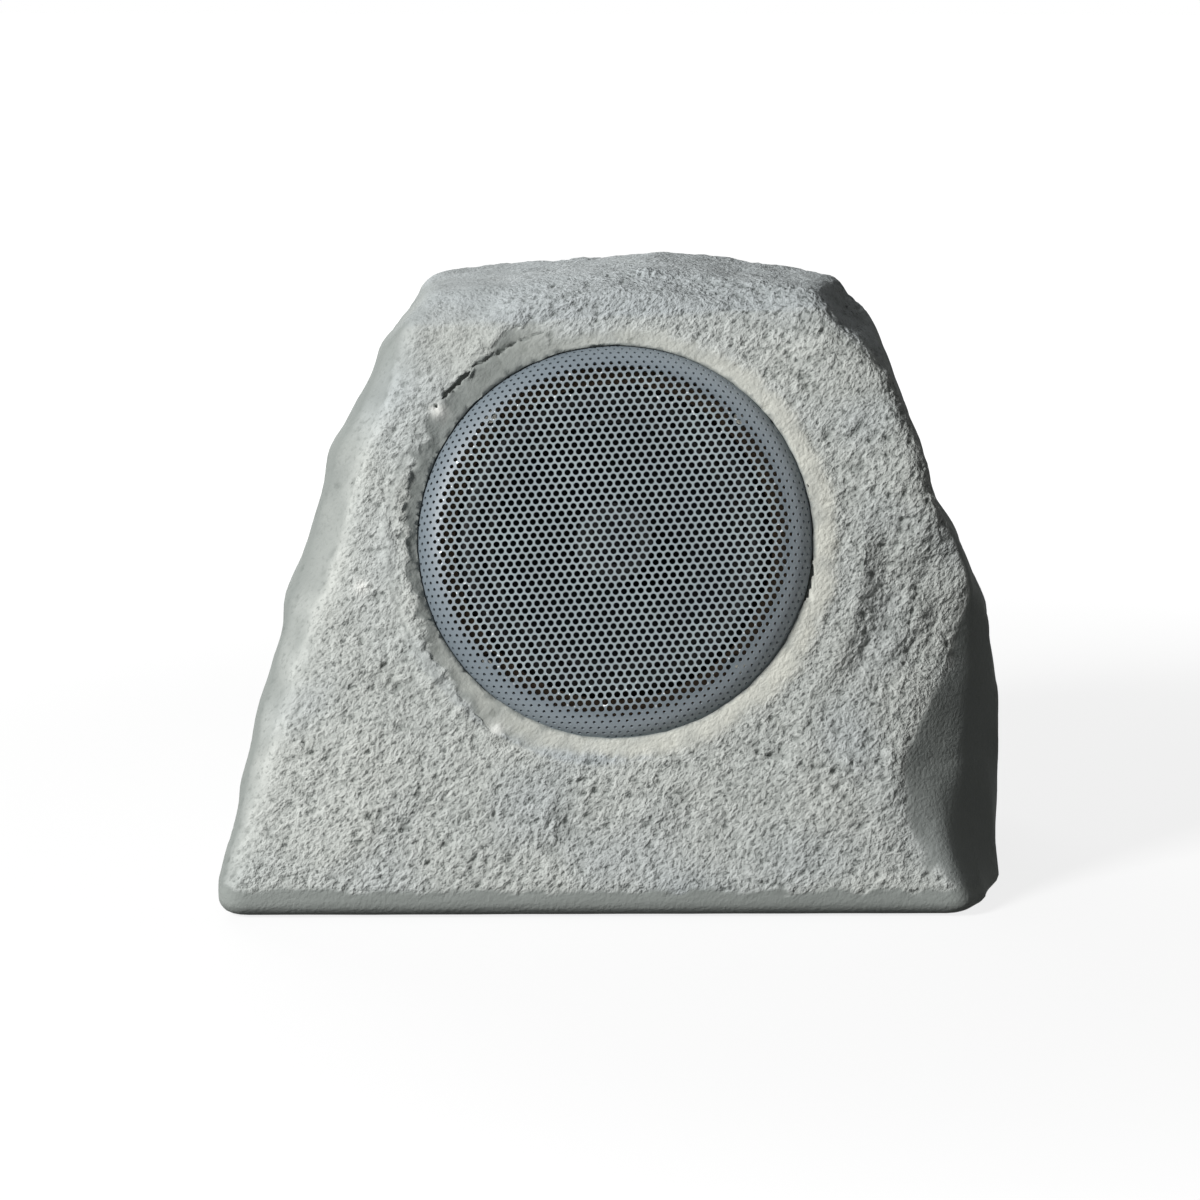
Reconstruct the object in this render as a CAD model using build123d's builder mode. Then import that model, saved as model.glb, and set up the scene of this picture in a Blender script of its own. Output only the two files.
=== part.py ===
"""Rock shaped garden speaker: moulded shell, perforated grille, coaxial driver, closed base, cable gland.

Millimetres, +Z up. The front faces -Y, the viewer's right is +X. The origin is on the ground, under
the middle of the rock.
"""
import os
from math import cos, radians, sin, tan

from build123d import *

os.makedirs("parts", exist_ok=True)
ON_PLANE = (Align.CENTER, Align.CENTER, Align.MIN)
UNDER_PLANE = (Align.CENTER, Align.CENTER, Align.MAX)
HEXAGON = 6

# Rock walls as flat facets: (compass, foot, lean). Compass is in degrees from the front towards the
# right, foot is how far from the middle the facet meets the ground, lean is how far it tips back.
front_compass = 2.5
front_foot = 150
front_lean = 18
back_foot = 152
back_lean = 17
facets = {
    "front": (front_compass, front_foot, front_lean),
    "front_left": (-45, 232, 25),
    "left": (-97, 156.5, 9.5),
    "left_upper": (-95, 191, 20.5),
    "left_crown": (-85, 341, 44),
    "right_front": (50, 203, 10),
    "right": (73, 189, 1),
    "right_back": (97, 158, 1),
    "right_upper": (92, 208, 21.5),
    "right_crown": (80, 357, 45),
    "back_right": (140, 166, 20),
    "back": (180, back_foot, back_lean),
    "back_left": (-142, 167, 19),
    "brow": (0, 368, 50),
    "back_brow": (170, 349, 50),
}
# Roof facets: (compass, height above the middle, fall towards that compass direction).
crowns = {"crown_left": (-90, 271, 6.5), "crown_right": (90, 273.5, 6.5)}
block_size = 600
soft_edge = 12
wall = 6

# Closed base: a plate set up into the rim, screwed to a ledge through a gasket.
rim_width = 24
plate_gap = 0.5
plate_recess = 2
plate_thick = 5
base_gasket_thick = 2
ledge_width = 12
ledge_thick = 8
base_screw_r = 1.5
base_head_r = 3.5
base_head_height = 2.6
base_screw_length = 10
screw_gap = 0.1
hole_gap = 0.6
# Where the base screws sit: wall, and how far along it from its middle.
base_screw_walls = [
    ("front", -100),
    ("front", 100),
    ("right_back", -70),
    ("right_back", 50),
    ("back", -60),
    ("back", 60),
    ("left", -50),
    ("left", 70),
]

# Recess for driver and grille, on an axis that leans back with the front of the rock.
driver_x = -2
driver_z = 158
baffle_depth = 10
baffle_thick = 9
cutout_gap = 3
lip_height = 7
lip_width = 8
dish_rise = 15

# Grille: one pressed sheet with a flat crown, a round shoulder and an upright skirt.
grille_margin = 5
grille_gap = 0.4
grille_thick = 1
grille_height = 18
shoulder_run = 16
skirt_height = 7
hole_pitch = 9
hole_r = 3.5
hole_stagger = 60

# Driver, from the mounting flange inwards. Heights are measured from the baffle.
seal_thick = 1
flange_thick = 1.5
flange_edge = 3.5
throat_r = 69
throat_depth = 5
frame_thick = 1.2
spider_seat_width = 14
spider_seat_depth = 31.5
floor_inset = 2
basket_floor_depth = 40.5
basket_hole_r = 24
window_count = 4
window_width = 54
window_margin = 2.5
driver_screw_count = 4
driver_screw_inset = 9.5
driver_screw_angle = 45
driver_screw_r = 1.8
driver_head_r = 3.2
driver_head_height = 2.4
driver_screw_length = 9
surround_thick = 0.8
surround_flange = 6
roll_width = 12
front_gasket_height = 4

cone_rim = 4
cone_thick = 0.9
cone_depth = 27
former_r = 13
former_thick = 0.4
former_length = 23
coil_thick = 0.5
coil_height = 10
glue_gap = 0.05
spider_thick = 0.6
spider_wave = 1.2
spider_waves = 4
spider_edge = 8

top_plate_r = 40
top_plate_thick = 5
magnet_edge = 5
magnet_bore_r = 24
magnet_thick = 16
back_plate_thick = 5
pole_gap = 0.5
coil_gap = 0.6
vent_r = 5

# Treble unit on a post through the pole.
post_gap = 0.2
post_nut_r = 7
post_nut_thick = 4
tweeter_r = 17
tweeter_bottom = -8
tweeter_top = 3
tweeter_dome_r = 10
tweeter_dome_height = 4
tweeter_ring_thick = 2

# Terminal strip under the spider seat of the frame.
strip_length = 20
strip_width = 9
strip_thick = 1.5
strip_gap = 1.3
tag_width = 3
tag_reach = 15
tag_thick = 0.6
tag_spacing = 11

# Filter board on the base plate.
board_x = -30
board_y = 50
board_length = 80
board_width = 50
board_thick = 1.6
pillar_r = 3.5
pillar_height = 6
pillar_inset = 6
board_screw_r = 1.4
board_head_r = 2.8
board_head_height = 2
board_screw_length = 5
inductor_r = 13
inductor_bore_r = 5
inductor_height = 12
capacitor_r = 6
capacitor_length = 26

# Cable gland at the back, square to the ground line, on a spot face.
gland_x = 0
gland_z = 36
spot_r = 12
spot_depth = 0.5
pad_r = 16
pad_thick = 8
gland_thread_r = 6
gland_hex_r = 9
gland_hex_thick = 4
gland_neck = 7
gland_bore_r = 4.2
cable_r = 3
gland_washer_thick = 1
seal_r = 4.9
seal_length = 8
seal_seat = 5
gland_mouth_r = 3.6
gland_mouth_thick = 1.8
locknut_thick = 4.5
thread_gap = 0.1


def compass_vector(compass):
    """Level direction of a compass angle."""
    return Vector(sin(radians(compass)), -cos(radians(compass)), 0)


def facet_plane(compass, foot, lean, inset):
    """Plane of a wall facet, moved inwards by inset."""
    away = compass_vector(compass)
    normal = away * cos(radians(lean)) + Vector(0, 0, sin(radians(lean)))
    return Plane(origin=away * foot - normal * inset, z_dir=normal)


def crown_plane(compass, height, fall, inset):
    """Plane of a roof facet, moved inwards by inset."""
    normal = compass_vector(compass) * sin(radians(fall)) + Vector(0, 0, cos(radians(fall)))
    return Plane(origin=Vector(0, 0, height) - normal * inset, z_dir=normal)


def rock_block(inset, bottom):
    """Block bounded by every facet moved inwards by inset, standing on the height bottom."""
    with BuildPart(Plane.XY.offset(bottom)) as block:
        Box(block_size, block_size, block_size, align=ON_PLANE)
        for facet in facets.values():
            split(bisect_by=facet_plane(*facet, inset), keep=Keep.BOTTOM)
        for crown in crowns.values():
            split(bisect_by=crown_plane(*crown, inset), keep=Keep.BOTTOM)
    return block.part


def base_slab(inset, bottom, top):
    """Upright slab of the rock's ground outline, moved inwards by inset."""
    with BuildPart(Plane.XY.offset(bottom)) as slab:
        Box(block_size, block_size, top - bottom, align=ON_PLANE)
        for compass, foot, lean in facets.values():
            split(bisect_by=facet_plane(compass, foot, 0, inset), keep=Keep.BOTTOM)
    return slab.part


def facet_depth(name, x, z):
    """Y of a front or back facet at a given x and height."""
    compass, foot, lean = facets[name]
    away = compass_vector(compass)
    return (foot - z * tan(radians(lean)) - away.X * x) / away.Y


def beside_wall(name, inset, along):
    """Ground point, inset from the foot of a facet and moved along it."""
    compass, foot, lean = facets[name]
    away = compass_vector(compass)
    spot = away * (foot - inset) + Vector(-away.Y, away.X, 0) * along
    return (spot.X, spot.Y)


# Heights of the base, from the ground up.
plate_top = plate_recess + plate_thick
ledge_bottom = plate_top + base_gasket_thick
ledge_top = ledge_bottom + ledge_thick
plate_inset = rim_width + plate_gap
opening_inset = rim_width + ledge_width
screw_inset = (plate_inset + opening_inset) / 2
base_screw_spots = [beside_wall(name, screw_inset, along) for name, along in base_screw_walls]
base_head_top = plate_recess + base_head_height + screw_gap

# Driver planes: baffle looks out along the driver axis, profile holds (radius, height) points.
face_point = Vector(driver_x, facet_depth("front", driver_x, driver_z), driver_z)
driver_direction = Vector(0, -cos(radians(front_lean)), sin(radians(front_lean)))
baffle = Plane(origin=face_point - driver_direction * baffle_depth, x_dir=(1, 0, 0), z_dir=driver_direction)
profile = Plane(origin=baffle.origin, x_dir=baffle.x_dir, z_dir=-baffle.y_dir)
driver_axis = Axis(baffle.origin, baffle.z_dir)

# Radii about the driver axis, from the throat outwards.
cutout_r = throat_r + cutout_gap
driver_screw_circle = throat_r + driver_screw_inset
flange_r = driver_screw_circle + flange_edge
grille_r = flange_r + grille_margin
crown_r = grille_r - shoulder_run
recess_r = grille_r + grille_gap
lip_r = grille_r + lip_width

# Radii about the driver axis, from the motor outwards.
magnet_r = top_plate_r + magnet_edge
basket_floor_r = top_plate_r - floor_inset
spider_outer_r = basket_floor_r + spider_edge
spider_seat_r = basket_floor_r + spider_seat_width
strip_r = basket_floor_r + frame_thick + strip_gap + strip_width / 2

# Gland plane: the spot face, looking out to the back.
spot_y = facet_depth("back", gland_x, gland_z + spot_r) - spot_depth
spot = Plane(origin=(gland_x, spot_y, gland_z), x_dir=(-1, 0, 0), z_dir=(0, 1, 0))

# Rock shell: the facets rounded along every edge, hollow inside, with the baffle and its recess,
# the ledge for the base plate and the pad for the gland.
rock_core = rock_block(soft_edge, soft_edge)
cavity_core = rock_block(wall, ledge_top)
opening = base_slab(opening_inset, ledge_bottom, ledge_top)
plate_pocket = base_slab(rim_width, 0, ledge_bottom)

with BuildPart() as cavity:
    add(cavity_core)
    with BuildSketch(baffle.offset(-baffle_thick)):
        Circle(lip_r + dish_rise)
    extrude(amount=block_size, mode=Mode.SUBTRACT)
    with BuildSketch(spot.offset(-pad_thick)):
        Circle(pad_r)
    extrude(amount=block_size, mode=Mode.SUBTRACT)

with BuildPart() as rock_shell:
    add(rock_core)
    offset(amount=soft_edge, kind=Kind.ARC)
    add(cavity.part, mode=Mode.SUBTRACT)
    add(opening, mode=Mode.SUBTRACT)
    add(plate_pocket, mode=Mode.SUBTRACT)
    with BuildSketch(profile):
        Polygon(
            (0, lip_height),
            (lip_r, lip_height),
            (lip_r + dish_rise, lip_height + dish_rise),
            (0, lip_height + dish_rise),
            align=None,
        )
    revolve(axis=driver_axis, mode=Mode.SUBTRACT)
    with BuildSketch(baffle):
        Circle(recess_r)
    extrude(amount=block_size, mode=Mode.SUBTRACT)
    with BuildSketch(baffle.offset(-baffle_thick)):
        Circle(cutout_r)
        with PolarLocations(driver_screw_circle, driver_screw_count, start_angle=driver_screw_angle):
            Circle(driver_screw_r + screw_gap)
    extrude(amount=baffle_thick, mode=Mode.SUBTRACT)
    with BuildSketch(spot):
        Circle(spot_r)
    extrude(amount=block_size, mode=Mode.SUBTRACT)
    with BuildSketch(spot):
        Circle(gland_thread_r + thread_gap)
    extrude(amount=-pad_thick, mode=Mode.SUBTRACT)
    with BuildSketch(Plane.XY.offset(ledge_bottom)):
        with Locations(*base_screw_spots):
            Circle(base_screw_r + screw_gap)
    extrude(amount=ledge_thick, mode=Mode.SUBTRACT)
rock_shell.part.label = "rock_shell"
export_step(rock_shell.part, "parts/rock_shell.step")

# Base plate, its gasket and screws.
plate_slab = base_slab(plate_inset, plate_recess, plate_top)
gasket_slab = base_slab(plate_inset, plate_top, ledge_bottom)
gasket_hole = base_slab(opening_inset, plate_top, ledge_bottom)
pillar_spots = [
    (board_x + side * (board_length / 2 - pillar_inset), board_y + end * (board_width / 2 - pillar_inset))
    for side in (-1, 1)
    for end in (-1, 1)
]

with BuildPart() as base_plate:
    add(plate_slab)
    with Locations(*[(x, y, plate_recess) for x, y in base_screw_spots]):
        with Locations(Rotation(180, 0, 0)):
            CounterBoreHole(base_screw_r + hole_gap, base_head_r + hole_gap, base_head_height + screw_gap)
base_plate.part.label = "base_plate"
export_step(base_plate.part, "parts/base_plate.step")

with BuildPart() as base_gasket:
    add(gasket_slab)
    add(gasket_hole, mode=Mode.SUBTRACT)
    with Locations(*[(x, y, ledge_bottom) for x, y in base_screw_spots]):
        Hole(base_screw_r + hole_gap)
base_gasket.part.label = "base_gasket"
export_step(base_gasket.part, "parts/base_gasket.step")

with BuildPart(Plane.XY.offset(base_head_top)) as base_screws:
    with Locations(*base_screw_spots):
        Cylinder(base_head_r, base_head_height, align=UNDER_PLANE)
        Cylinder(base_screw_r, base_screw_length, align=ON_PLANE)
base_screws.part.label = "base_screws"
export_step(base_screws.part, "parts/base_screws.step")

# Grille: skirt, shoulder arc tangent to the flat crown, and staggered holes in the crown.
shoulder_drop = grille_height - skirt_height
shoulder_r = (shoulder_run**2 + shoulder_drop**2) / (2 * shoulder_drop)


def shoulder_end(radius):
    """Lower end of a shoulder arc of this radius, where it meets the skirt."""
    run = shoulder_run - shoulder_r + radius
    return grille_height - shoulder_r + (radius**2 - run**2) ** 0.5


row_step = hole_pitch * sin(radians(hole_stagger))
row_limit = int(crown_r / row_step)
grille_holes = [
    (hole_pitch * (column + row % 2 / 2), row_step * row)
    for row in range(-row_limit, row_limit + 1)
    for column in range(-row_limit - 1, row_limit + 2)
    if Vector(hole_pitch * (column + row % 2 / 2), row_step * row).length < crown_r - hole_r
]

with BuildPart() as grille:
    with BuildSketch(profile):
        with BuildLine():
            outer_end = shoulder_end(shoulder_r)
            inner_end = shoulder_end(shoulder_r - grille_thick)
            Polyline((0, grille_height), (crown_r, grille_height))
            TangentArc((crown_r, grille_height), (grille_r, outer_end), tangent=(1, 0))
            Polyline((grille_r, outer_end), (grille_r, 0), (grille_r - grille_thick, 0))
            Line((grille_r - grille_thick, 0), (grille_r - grille_thick, inner_end))
            TangentArc(
                (crown_r, grille_height - grille_thick),
                (grille_r - grille_thick, inner_end),
                tangent=(1, 0),
            )
            Polyline(
                (crown_r, grille_height - grille_thick),
                (0, grille_height - grille_thick),
                (0, grille_height),
            )
        make_face()
    revolve(axis=driver_axis)
    with BuildSketch(baffle.offset(grille_height)):
        with Locations(*grille_holes):
            RegularPolygon(hole_r, HEXAGON)
    extrude(amount=-2 * grille_thick, mode=Mode.SUBTRACT)
grille.part.label = "grille"
export_step(grille.part, "parts/grille.step")

# Driver heights, from the baffle outwards and inwards.
flange_top = seal_thick + flange_thick
spider_seat = flange_top - spider_seat_depth
basket_floor = flange_top - basket_floor_depth
top_plate_top = basket_floor - frame_thick
top_plate_bottom = top_plate_top - top_plate_thick
magnet_bottom = top_plate_bottom - magnet_thick
back_plate_bottom = magnet_bottom - back_plate_thick
cone_r = throat_r - roll_width
neck_height = flange_top - cone_depth

with BuildPart() as driver_seal:
    with BuildSketch(baffle):
        Circle(flange_r)
        Circle(cutout_r, mode=Mode.SUBTRACT)
        with PolarLocations(driver_screw_circle, driver_screw_count, start_angle=driver_screw_angle):
            Circle(driver_screw_r + hole_gap, mode=Mode.SUBTRACT)
    extrude(amount=seal_thick)
driver_seal.part.label = "driver_seal"
export_step(driver_seal.part, "parts/driver_seal.step")

# Pressed frame: flange, throat, sloping wall with windows, spider seat, floor on the top plate.
with BuildPart() as driver_frame:
    with BuildSketch(profile):
        Polygon(
            (flange_r, seal_thick),
            (flange_r, flange_top),
            (throat_r, flange_top),
            (throat_r, flange_top - throat_depth),
            (spider_seat_r, spider_seat),
            (basket_floor_r, spider_seat),
            (basket_floor_r, basket_floor),
            (basket_hole_r, basket_floor),
            (basket_hole_r, basket_floor - frame_thick),
            (basket_floor_r + frame_thick, basket_floor - frame_thick),
            (basket_floor_r + frame_thick, spider_seat - frame_thick),
            (spider_seat_r + frame_thick / 2, spider_seat - frame_thick),
            (throat_r + frame_thick, flange_top - throat_depth - frame_thick / 2),
            (throat_r + frame_thick, seal_thick),
            align=None,
        )
    revolve(axis=driver_axis)
    with BuildSketch(baffle.offset(spider_seat + window_margin)):
        with PolarLocations(throat_r, window_count):
            Rectangle(throat_r, window_width)
    extrude(amount=spider_seat_depth - throat_depth - 2 * window_margin, mode=Mode.SUBTRACT)
    with BuildSketch(baffle.offset(flange_top)):
        with PolarLocations(driver_screw_circle, driver_screw_count, start_angle=driver_screw_angle):
            Circle(driver_screw_r + hole_gap)
    extrude(amount=-flange_thick, mode=Mode.SUBTRACT)
driver_frame.part.label = "driver_frame"
export_step(driver_frame.part, "parts/driver_frame.step")

# Half-roll surround between the frame's flange and the cone's rim.
roll_centre = (throat_r + cone_r) / 2
roll_outer = roll_width / 2 + surround_thick / 2
roll_inner = roll_width / 2 - surround_thick / 2
surround_top = flange_top + surround_thick
roll_foot = (roll_outer**2 - surround_thick**2) ** 0.5

with BuildPart() as surround:
    with BuildSketch(profile):
        with BuildLine():
            outer_foot = (roll_centre + roll_foot, surround_top)
            inner_foot = (roll_centre - roll_foot, surround_top)
            Polyline(
                outer_foot,
                (throat_r + surround_flange, surround_top),
                (throat_r + surround_flange, flange_top),
                (roll_centre + roll_inner, flange_top),
            )
            ThreePointArc(
                (roll_centre + roll_inner, flange_top),
                (roll_centre, flange_top + roll_inner),
                (roll_centre - roll_inner, flange_top),
            )
            Polyline(
                (roll_centre - roll_inner, flange_top),
                (cone_r - cone_rim, flange_top),
                (cone_r - cone_rim, surround_top),
                inner_foot,
            )
            ThreePointArc(inner_foot, (roll_centre, flange_top + roll_outer), outer_foot)
        make_face()
    revolve(axis=driver_axis)
surround.part.label = "surround"
export_step(surround.part, "parts/surround.step")

# Board ring that covers the surround's edge, open round the screw heads.
with BuildPart() as front_gasket:
    with BuildSketch(profile):
        gasket_edge = throat_r + surround_flange + glue_gap
        Polygon(
            (throat_r + surround_thick, surround_top),
            (gasket_edge, surround_top),
            (gasket_edge, flange_top),
            (flange_r, flange_top),
            (flange_r, flange_top + front_gasket_height),
            (throat_r + surround_thick, flange_top + front_gasket_height),
            align=None,
        )
    revolve(axis=driver_axis)
    with BuildSketch(baffle.offset(flange_top)):
        with PolarLocations(driver_screw_circle, driver_screw_count, start_angle=driver_screw_angle):
            SlotCenterToCenter(2 * driver_head_r, 2 * (driver_head_r + hole_gap))
    extrude(amount=front_gasket_height, mode=Mode.SUBTRACT)
front_gasket.part.label = "front_gasket"
export_step(front_gasket.part, "parts/front_gasket.step")

with BuildPart(baffle.offset(flange_top)) as driver_screws:
    with PolarLocations(driver_screw_circle, driver_screw_count, start_angle=driver_screw_angle):
        Cylinder(driver_head_r, driver_head_height, align=ON_PLANE)
        Cylinder(driver_screw_r, driver_screw_length, align=UNDER_PLANE)
driver_screws.part.label = "driver_screws"
export_step(driver_screws.part, "parts/driver_screws.step")

# Moving system: cone, coil former and winding.
with BuildPart() as cone:
    with BuildSketch(profile):
        Polygon(
            (cone_r, flange_top),
            (cone_r - cone_rim, flange_top),
            (former_r + glue_gap, neck_height),
            (former_r + glue_gap, neck_height - cone_thick),
            (cone_r - cone_rim, flange_top - cone_thick),
            (cone_r, flange_top - cone_thick),
            align=None,
        )
    revolve(axis=driver_axis)
cone.part.label = "cone"
export_step(cone.part, "parts/cone.step")

with BuildPart(baffle.offset(neck_height)) as coil_former:
    Cylinder(former_r, former_length, align=UNDER_PLANE)
    Cylinder(former_r - former_thick, former_length, align=UNDER_PLANE, mode=Mode.SUBTRACT)
coil_former.part.label = "coil_former"
export_step(coil_former.part, "parts/coil_former.step")

coil_top = (top_plate_top + top_plate_bottom + coil_height) / 2
coil_outer_r = former_r + glue_gap + coil_thick

with BuildPart(baffle.offset(coil_top)) as voice_coil:
    Cylinder(coil_outer_r, coil_height, align=UNDER_PLANE)
    Cylinder(former_r + glue_gap, coil_height, align=UNDER_PLANE, mode=Mode.SUBTRACT)
voice_coil.part.label = "voice_coil"
export_step(voice_coil.part, "parts/voice_coil.step")

# Corrugated spider, from the former to its seat in the frame.
wave_start = former_r + 2 * spider_wave
wave_step = (basket_floor_r - spider_wave - wave_start) / (2 * spider_waves)
wave_line = [
    (wave_start + wave_step * count, spider_seat + spider_wave * (1 if count % 2 else -1))
    for count in range(1, 2 * spider_waves)
]
spider_line = [
    (former_r + glue_gap, spider_seat),
    (wave_start, spider_seat),
    *wave_line,
    (basket_floor_r - spider_wave, spider_seat),
    (spider_outer_r, spider_seat),
]

with BuildPart() as spider:
    with BuildSketch(profile):
        upper_line = [(radius, height + spider_thick) for radius, height in spider_line]
        Polygon(*spider_line, *reversed(upper_line), align=None)
    revolve(axis=driver_axis)
spider.part.label = "spider"
export_step(spider.part, "parts/spider.step")

# Motor: top plate, ring magnet, back plate with the pole.
with BuildPart(baffle.offset(top_plate_bottom)) as top_plate:
    Cylinder(top_plate_r, top_plate_thick, align=ON_PLANE)
    Cylinder(coil_outer_r + coil_gap, top_plate_thick, align=ON_PLANE, mode=Mode.SUBTRACT)
top_plate.part.label = "top_plate"
export_step(top_plate.part, "parts/top_plate.step")

with BuildPart(baffle.offset(magnet_bottom)) as magnet:
    Cylinder(magnet_r, magnet_thick, align=ON_PLANE)
    Cylinder(magnet_bore_r, magnet_thick, align=ON_PLANE, mode=Mode.SUBTRACT)
magnet.part.label = "magnet"
export_step(magnet.part, "parts/magnet.step")

pole_r = former_r - former_thick - pole_gap

with BuildPart(baffle.offset(back_plate_bottom)) as back_plate:
    Cylinder(top_plate_r, back_plate_thick, align=ON_PLANE)
    Cylinder(pole_r, top_plate_top - back_plate_bottom, align=ON_PLANE)
    Cylinder(vent_r, top_plate_top - back_plate_bottom, align=ON_PLANE, mode=Mode.SUBTRACT)
back_plate.part.label = "back_plate"
export_step(back_plate.part, "parts/back_plate.step")

# Treble unit: post with its nut, cup, face ring and dome.
post_r = vent_r - post_gap

with BuildPart(baffle.offset(back_plate_bottom - post_nut_thick)) as tweeter_post:
    Cylinder(post_r, tweeter_bottom - back_plate_bottom + post_nut_thick, align=ON_PLANE)
tweeter_post.part.label = "tweeter_post"
export_step(tweeter_post.part, "parts/tweeter_post.step")

with BuildPart() as post_nut:
    with BuildSketch(baffle.offset(back_plate_bottom)):
        RegularPolygon(post_nut_r, HEXAGON)
        Circle(post_r + thread_gap, mode=Mode.SUBTRACT)
    extrude(amount=-post_nut_thick)
post_nut.part.label = "post_nut"
export_step(post_nut.part, "parts/post_nut.step")

with BuildPart() as tweeter_cup:
    with BuildSketch(profile):
        Polygon(
            (0, tweeter_bottom),
            (tweeter_dome_r, tweeter_bottom),
            (tweeter_r, (tweeter_bottom + tweeter_top) / 2),
            (tweeter_r, tweeter_top),
            (0, tweeter_top),
            align=None,
        )
    revolve(axis=driver_axis)
tweeter_cup.part.label = "tweeter_cup"
export_step(tweeter_cup.part, "parts/tweeter_cup.step")

with BuildPart(baffle.offset(tweeter_top)) as tweeter_ring:
    Cylinder(tweeter_r, tweeter_ring_thick, align=ON_PLANE)
    Cylinder(tweeter_dome_r + thread_gap, tweeter_ring_thick, align=ON_PLANE, mode=Mode.SUBTRACT)
tweeter_ring.part.label = "tweeter_ring"
export_step(tweeter_ring.part, "parts/tweeter_ring.step")

dome_sphere_r = (tweeter_dome_r**2 + tweeter_dome_height**2) / (2 * tweeter_dome_height)

with BuildPart() as tweeter_dome:
    with BuildSketch(profile):
        with BuildLine():
            dome_top = tweeter_top + tweeter_dome_height
            dome_centre = dome_top - dome_sphere_r
            CenterArc((0, dome_centre), dome_sphere_r, 90, -90)
            Polyline((dome_sphere_r, dome_centre), (0, dome_centre), (0, dome_top))
        make_face()
        with Locations((0, tweeter_top)):
            Rectangle(block_size, block_size, align=(Align.CENTER, Align.MAX), mode=Mode.SUBTRACT)
    revolve(axis=driver_axis)
tweeter_dome.part.label = "tweeter_dome"
export_step(tweeter_dome.part, "parts/tweeter_dome.step")

# Terminal strip below the driver, flat under the spider seat.
tag_r = strip_r + (tag_reach - strip_width) / 2
strip_bottom = spider_seat - frame_thick - strip_thick

with BuildPart() as terminal_strip:
    with BuildSketch(baffle.offset(strip_bottom)):
        with Locations((0, -strip_r)):
            Rectangle(strip_length, strip_width)
    extrude(amount=strip_thick)
    with BuildSketch(baffle.offset(strip_bottom)):
        with Locations((-tag_spacing / 2, -tag_r), (tag_spacing / 2, -tag_r)):
            Rectangle(tag_width, tag_reach)
    extrude(amount=-tag_thick)
terminal_strip.part.label = "terminal_strip"
export_step(terminal_strip.part, "parts/terminal_strip.step")

# Filter: pillars on the base plate, board, coil and capacitor.
board_bottom = plate_top + pillar_height
board_top = board_bottom + board_thick

with BuildPart(Plane.XY.offset(plate_top)) as board_pillars:
    with Locations(*pillar_spots):
        Cylinder(pillar_r, pillar_height, align=ON_PLANE)
        Cylinder(board_screw_r + screw_gap, pillar_height, align=ON_PLANE, mode=Mode.SUBTRACT)
board_pillars.part.label = "board_pillars"
export_step(board_pillars.part, "parts/board_pillars.step")

with BuildPart() as crossover_board:
    with BuildSketch(Plane.XY.offset(board_bottom)):
        with Locations((board_x, board_y)):
            Rectangle(board_length, board_width)
        with Locations(*pillar_spots):
            Circle(board_screw_r + screw_gap, mode=Mode.SUBTRACT)
    extrude(amount=board_thick)
crossover_board.part.label = "crossover_board"
export_step(crossover_board.part, "parts/crossover_board.step")

with BuildPart(Plane.XY.offset(board_top)) as board_screws:
    with Locations(*pillar_spots):
        Cylinder(board_head_r, board_head_height, align=ON_PLANE)
        Cylinder(board_screw_r, board_screw_length, align=UNDER_PLANE)
board_screws.part.label = "board_screws"
export_step(board_screws.part, "parts/board_screws.step")

inductor_x = board_x - board_length / 2 + pillar_inset + pillar_r + inductor_r

with BuildPart(Plane.XY.offset(board_top)) as crossover_coil:
    with Locations((inductor_x, board_y)):
        Cylinder(inductor_r, inductor_height, align=ON_PLANE)
        Cylinder(inductor_bore_r, inductor_height, align=ON_PLANE, mode=Mode.SUBTRACT)
crossover_coil.part.label = "crossover_coil"
export_step(crossover_coil.part, "parts/crossover_coil.step")

capacitor_x = inductor_x + inductor_r + pillar_r

capacitor_end = (capacitor_x, board_y, board_top + capacitor_r + screw_gap)

with BuildPart() as crossover_capacitor:
    with BuildSketch(Plane(origin=capacitor_end, z_dir=(1, 0, 0))):
        Circle(capacitor_r)
    extrude(amount=capacitor_length)
crossover_capacitor.part.label = "crossover_capacitor"
export_step(crossover_capacitor.part, "parts/crossover_capacitor.step")

# Cable gland: washer and hexagon outside the spot face, lock nut inside the pad, seal under the nut.
hex_bottom = gland_washer_thick
hex_top = hex_bottom + gland_hex_thick
neck_top = hex_top + gland_neck
seal_bottom = neck_top - seal_seat
seal_top = seal_bottom + seal_length
nut_bottom = hex_top + thread_gap
nut_top = seal_top + gland_mouth_thick

with BuildPart() as gland_washer:
    with BuildSketch(spot):
        Circle(gland_hex_r)
        Circle(gland_thread_r + thread_gap, mode=Mode.SUBTRACT)
    extrude(amount=gland_washer_thick)
gland_washer.part.label = "gland_washer"
export_step(gland_washer.part, "parts/gland_washer.step")

with BuildPart() as gland_body:
    with BuildSketch(spot.offset(-pad_thick - locknut_thick)):
        Circle(gland_thread_r)
    extrude(amount=pad_thick + locknut_thick + neck_top)
    with BuildSketch(spot.offset(hex_bottom)):
        RegularPolygon(gland_hex_r, HEXAGON)
    extrude(amount=gland_hex_thick)
    with BuildSketch(spot.offset(neck_top)):
        Circle(gland_bore_r)
    extrude(amount=-pad_thick - locknut_thick - neck_top, mode=Mode.SUBTRACT)
    with BuildSketch(spot.offset(neck_top)):
        Circle(seal_r + thread_gap)
    extrude(amount=-seal_seat, mode=Mode.SUBTRACT)
gland_body.part.label = "gland_body"
export_step(gland_body.part, "parts/gland_body.step")

with BuildPart() as gland_seal:
    with BuildSketch(spot.offset(seal_bottom)):
        Circle(seal_r)
        Circle(cable_r, mode=Mode.SUBTRACT)
    extrude(amount=seal_length)
gland_seal.part.label = "gland_seal"
export_step(gland_seal.part, "parts/gland_seal.step")

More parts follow.
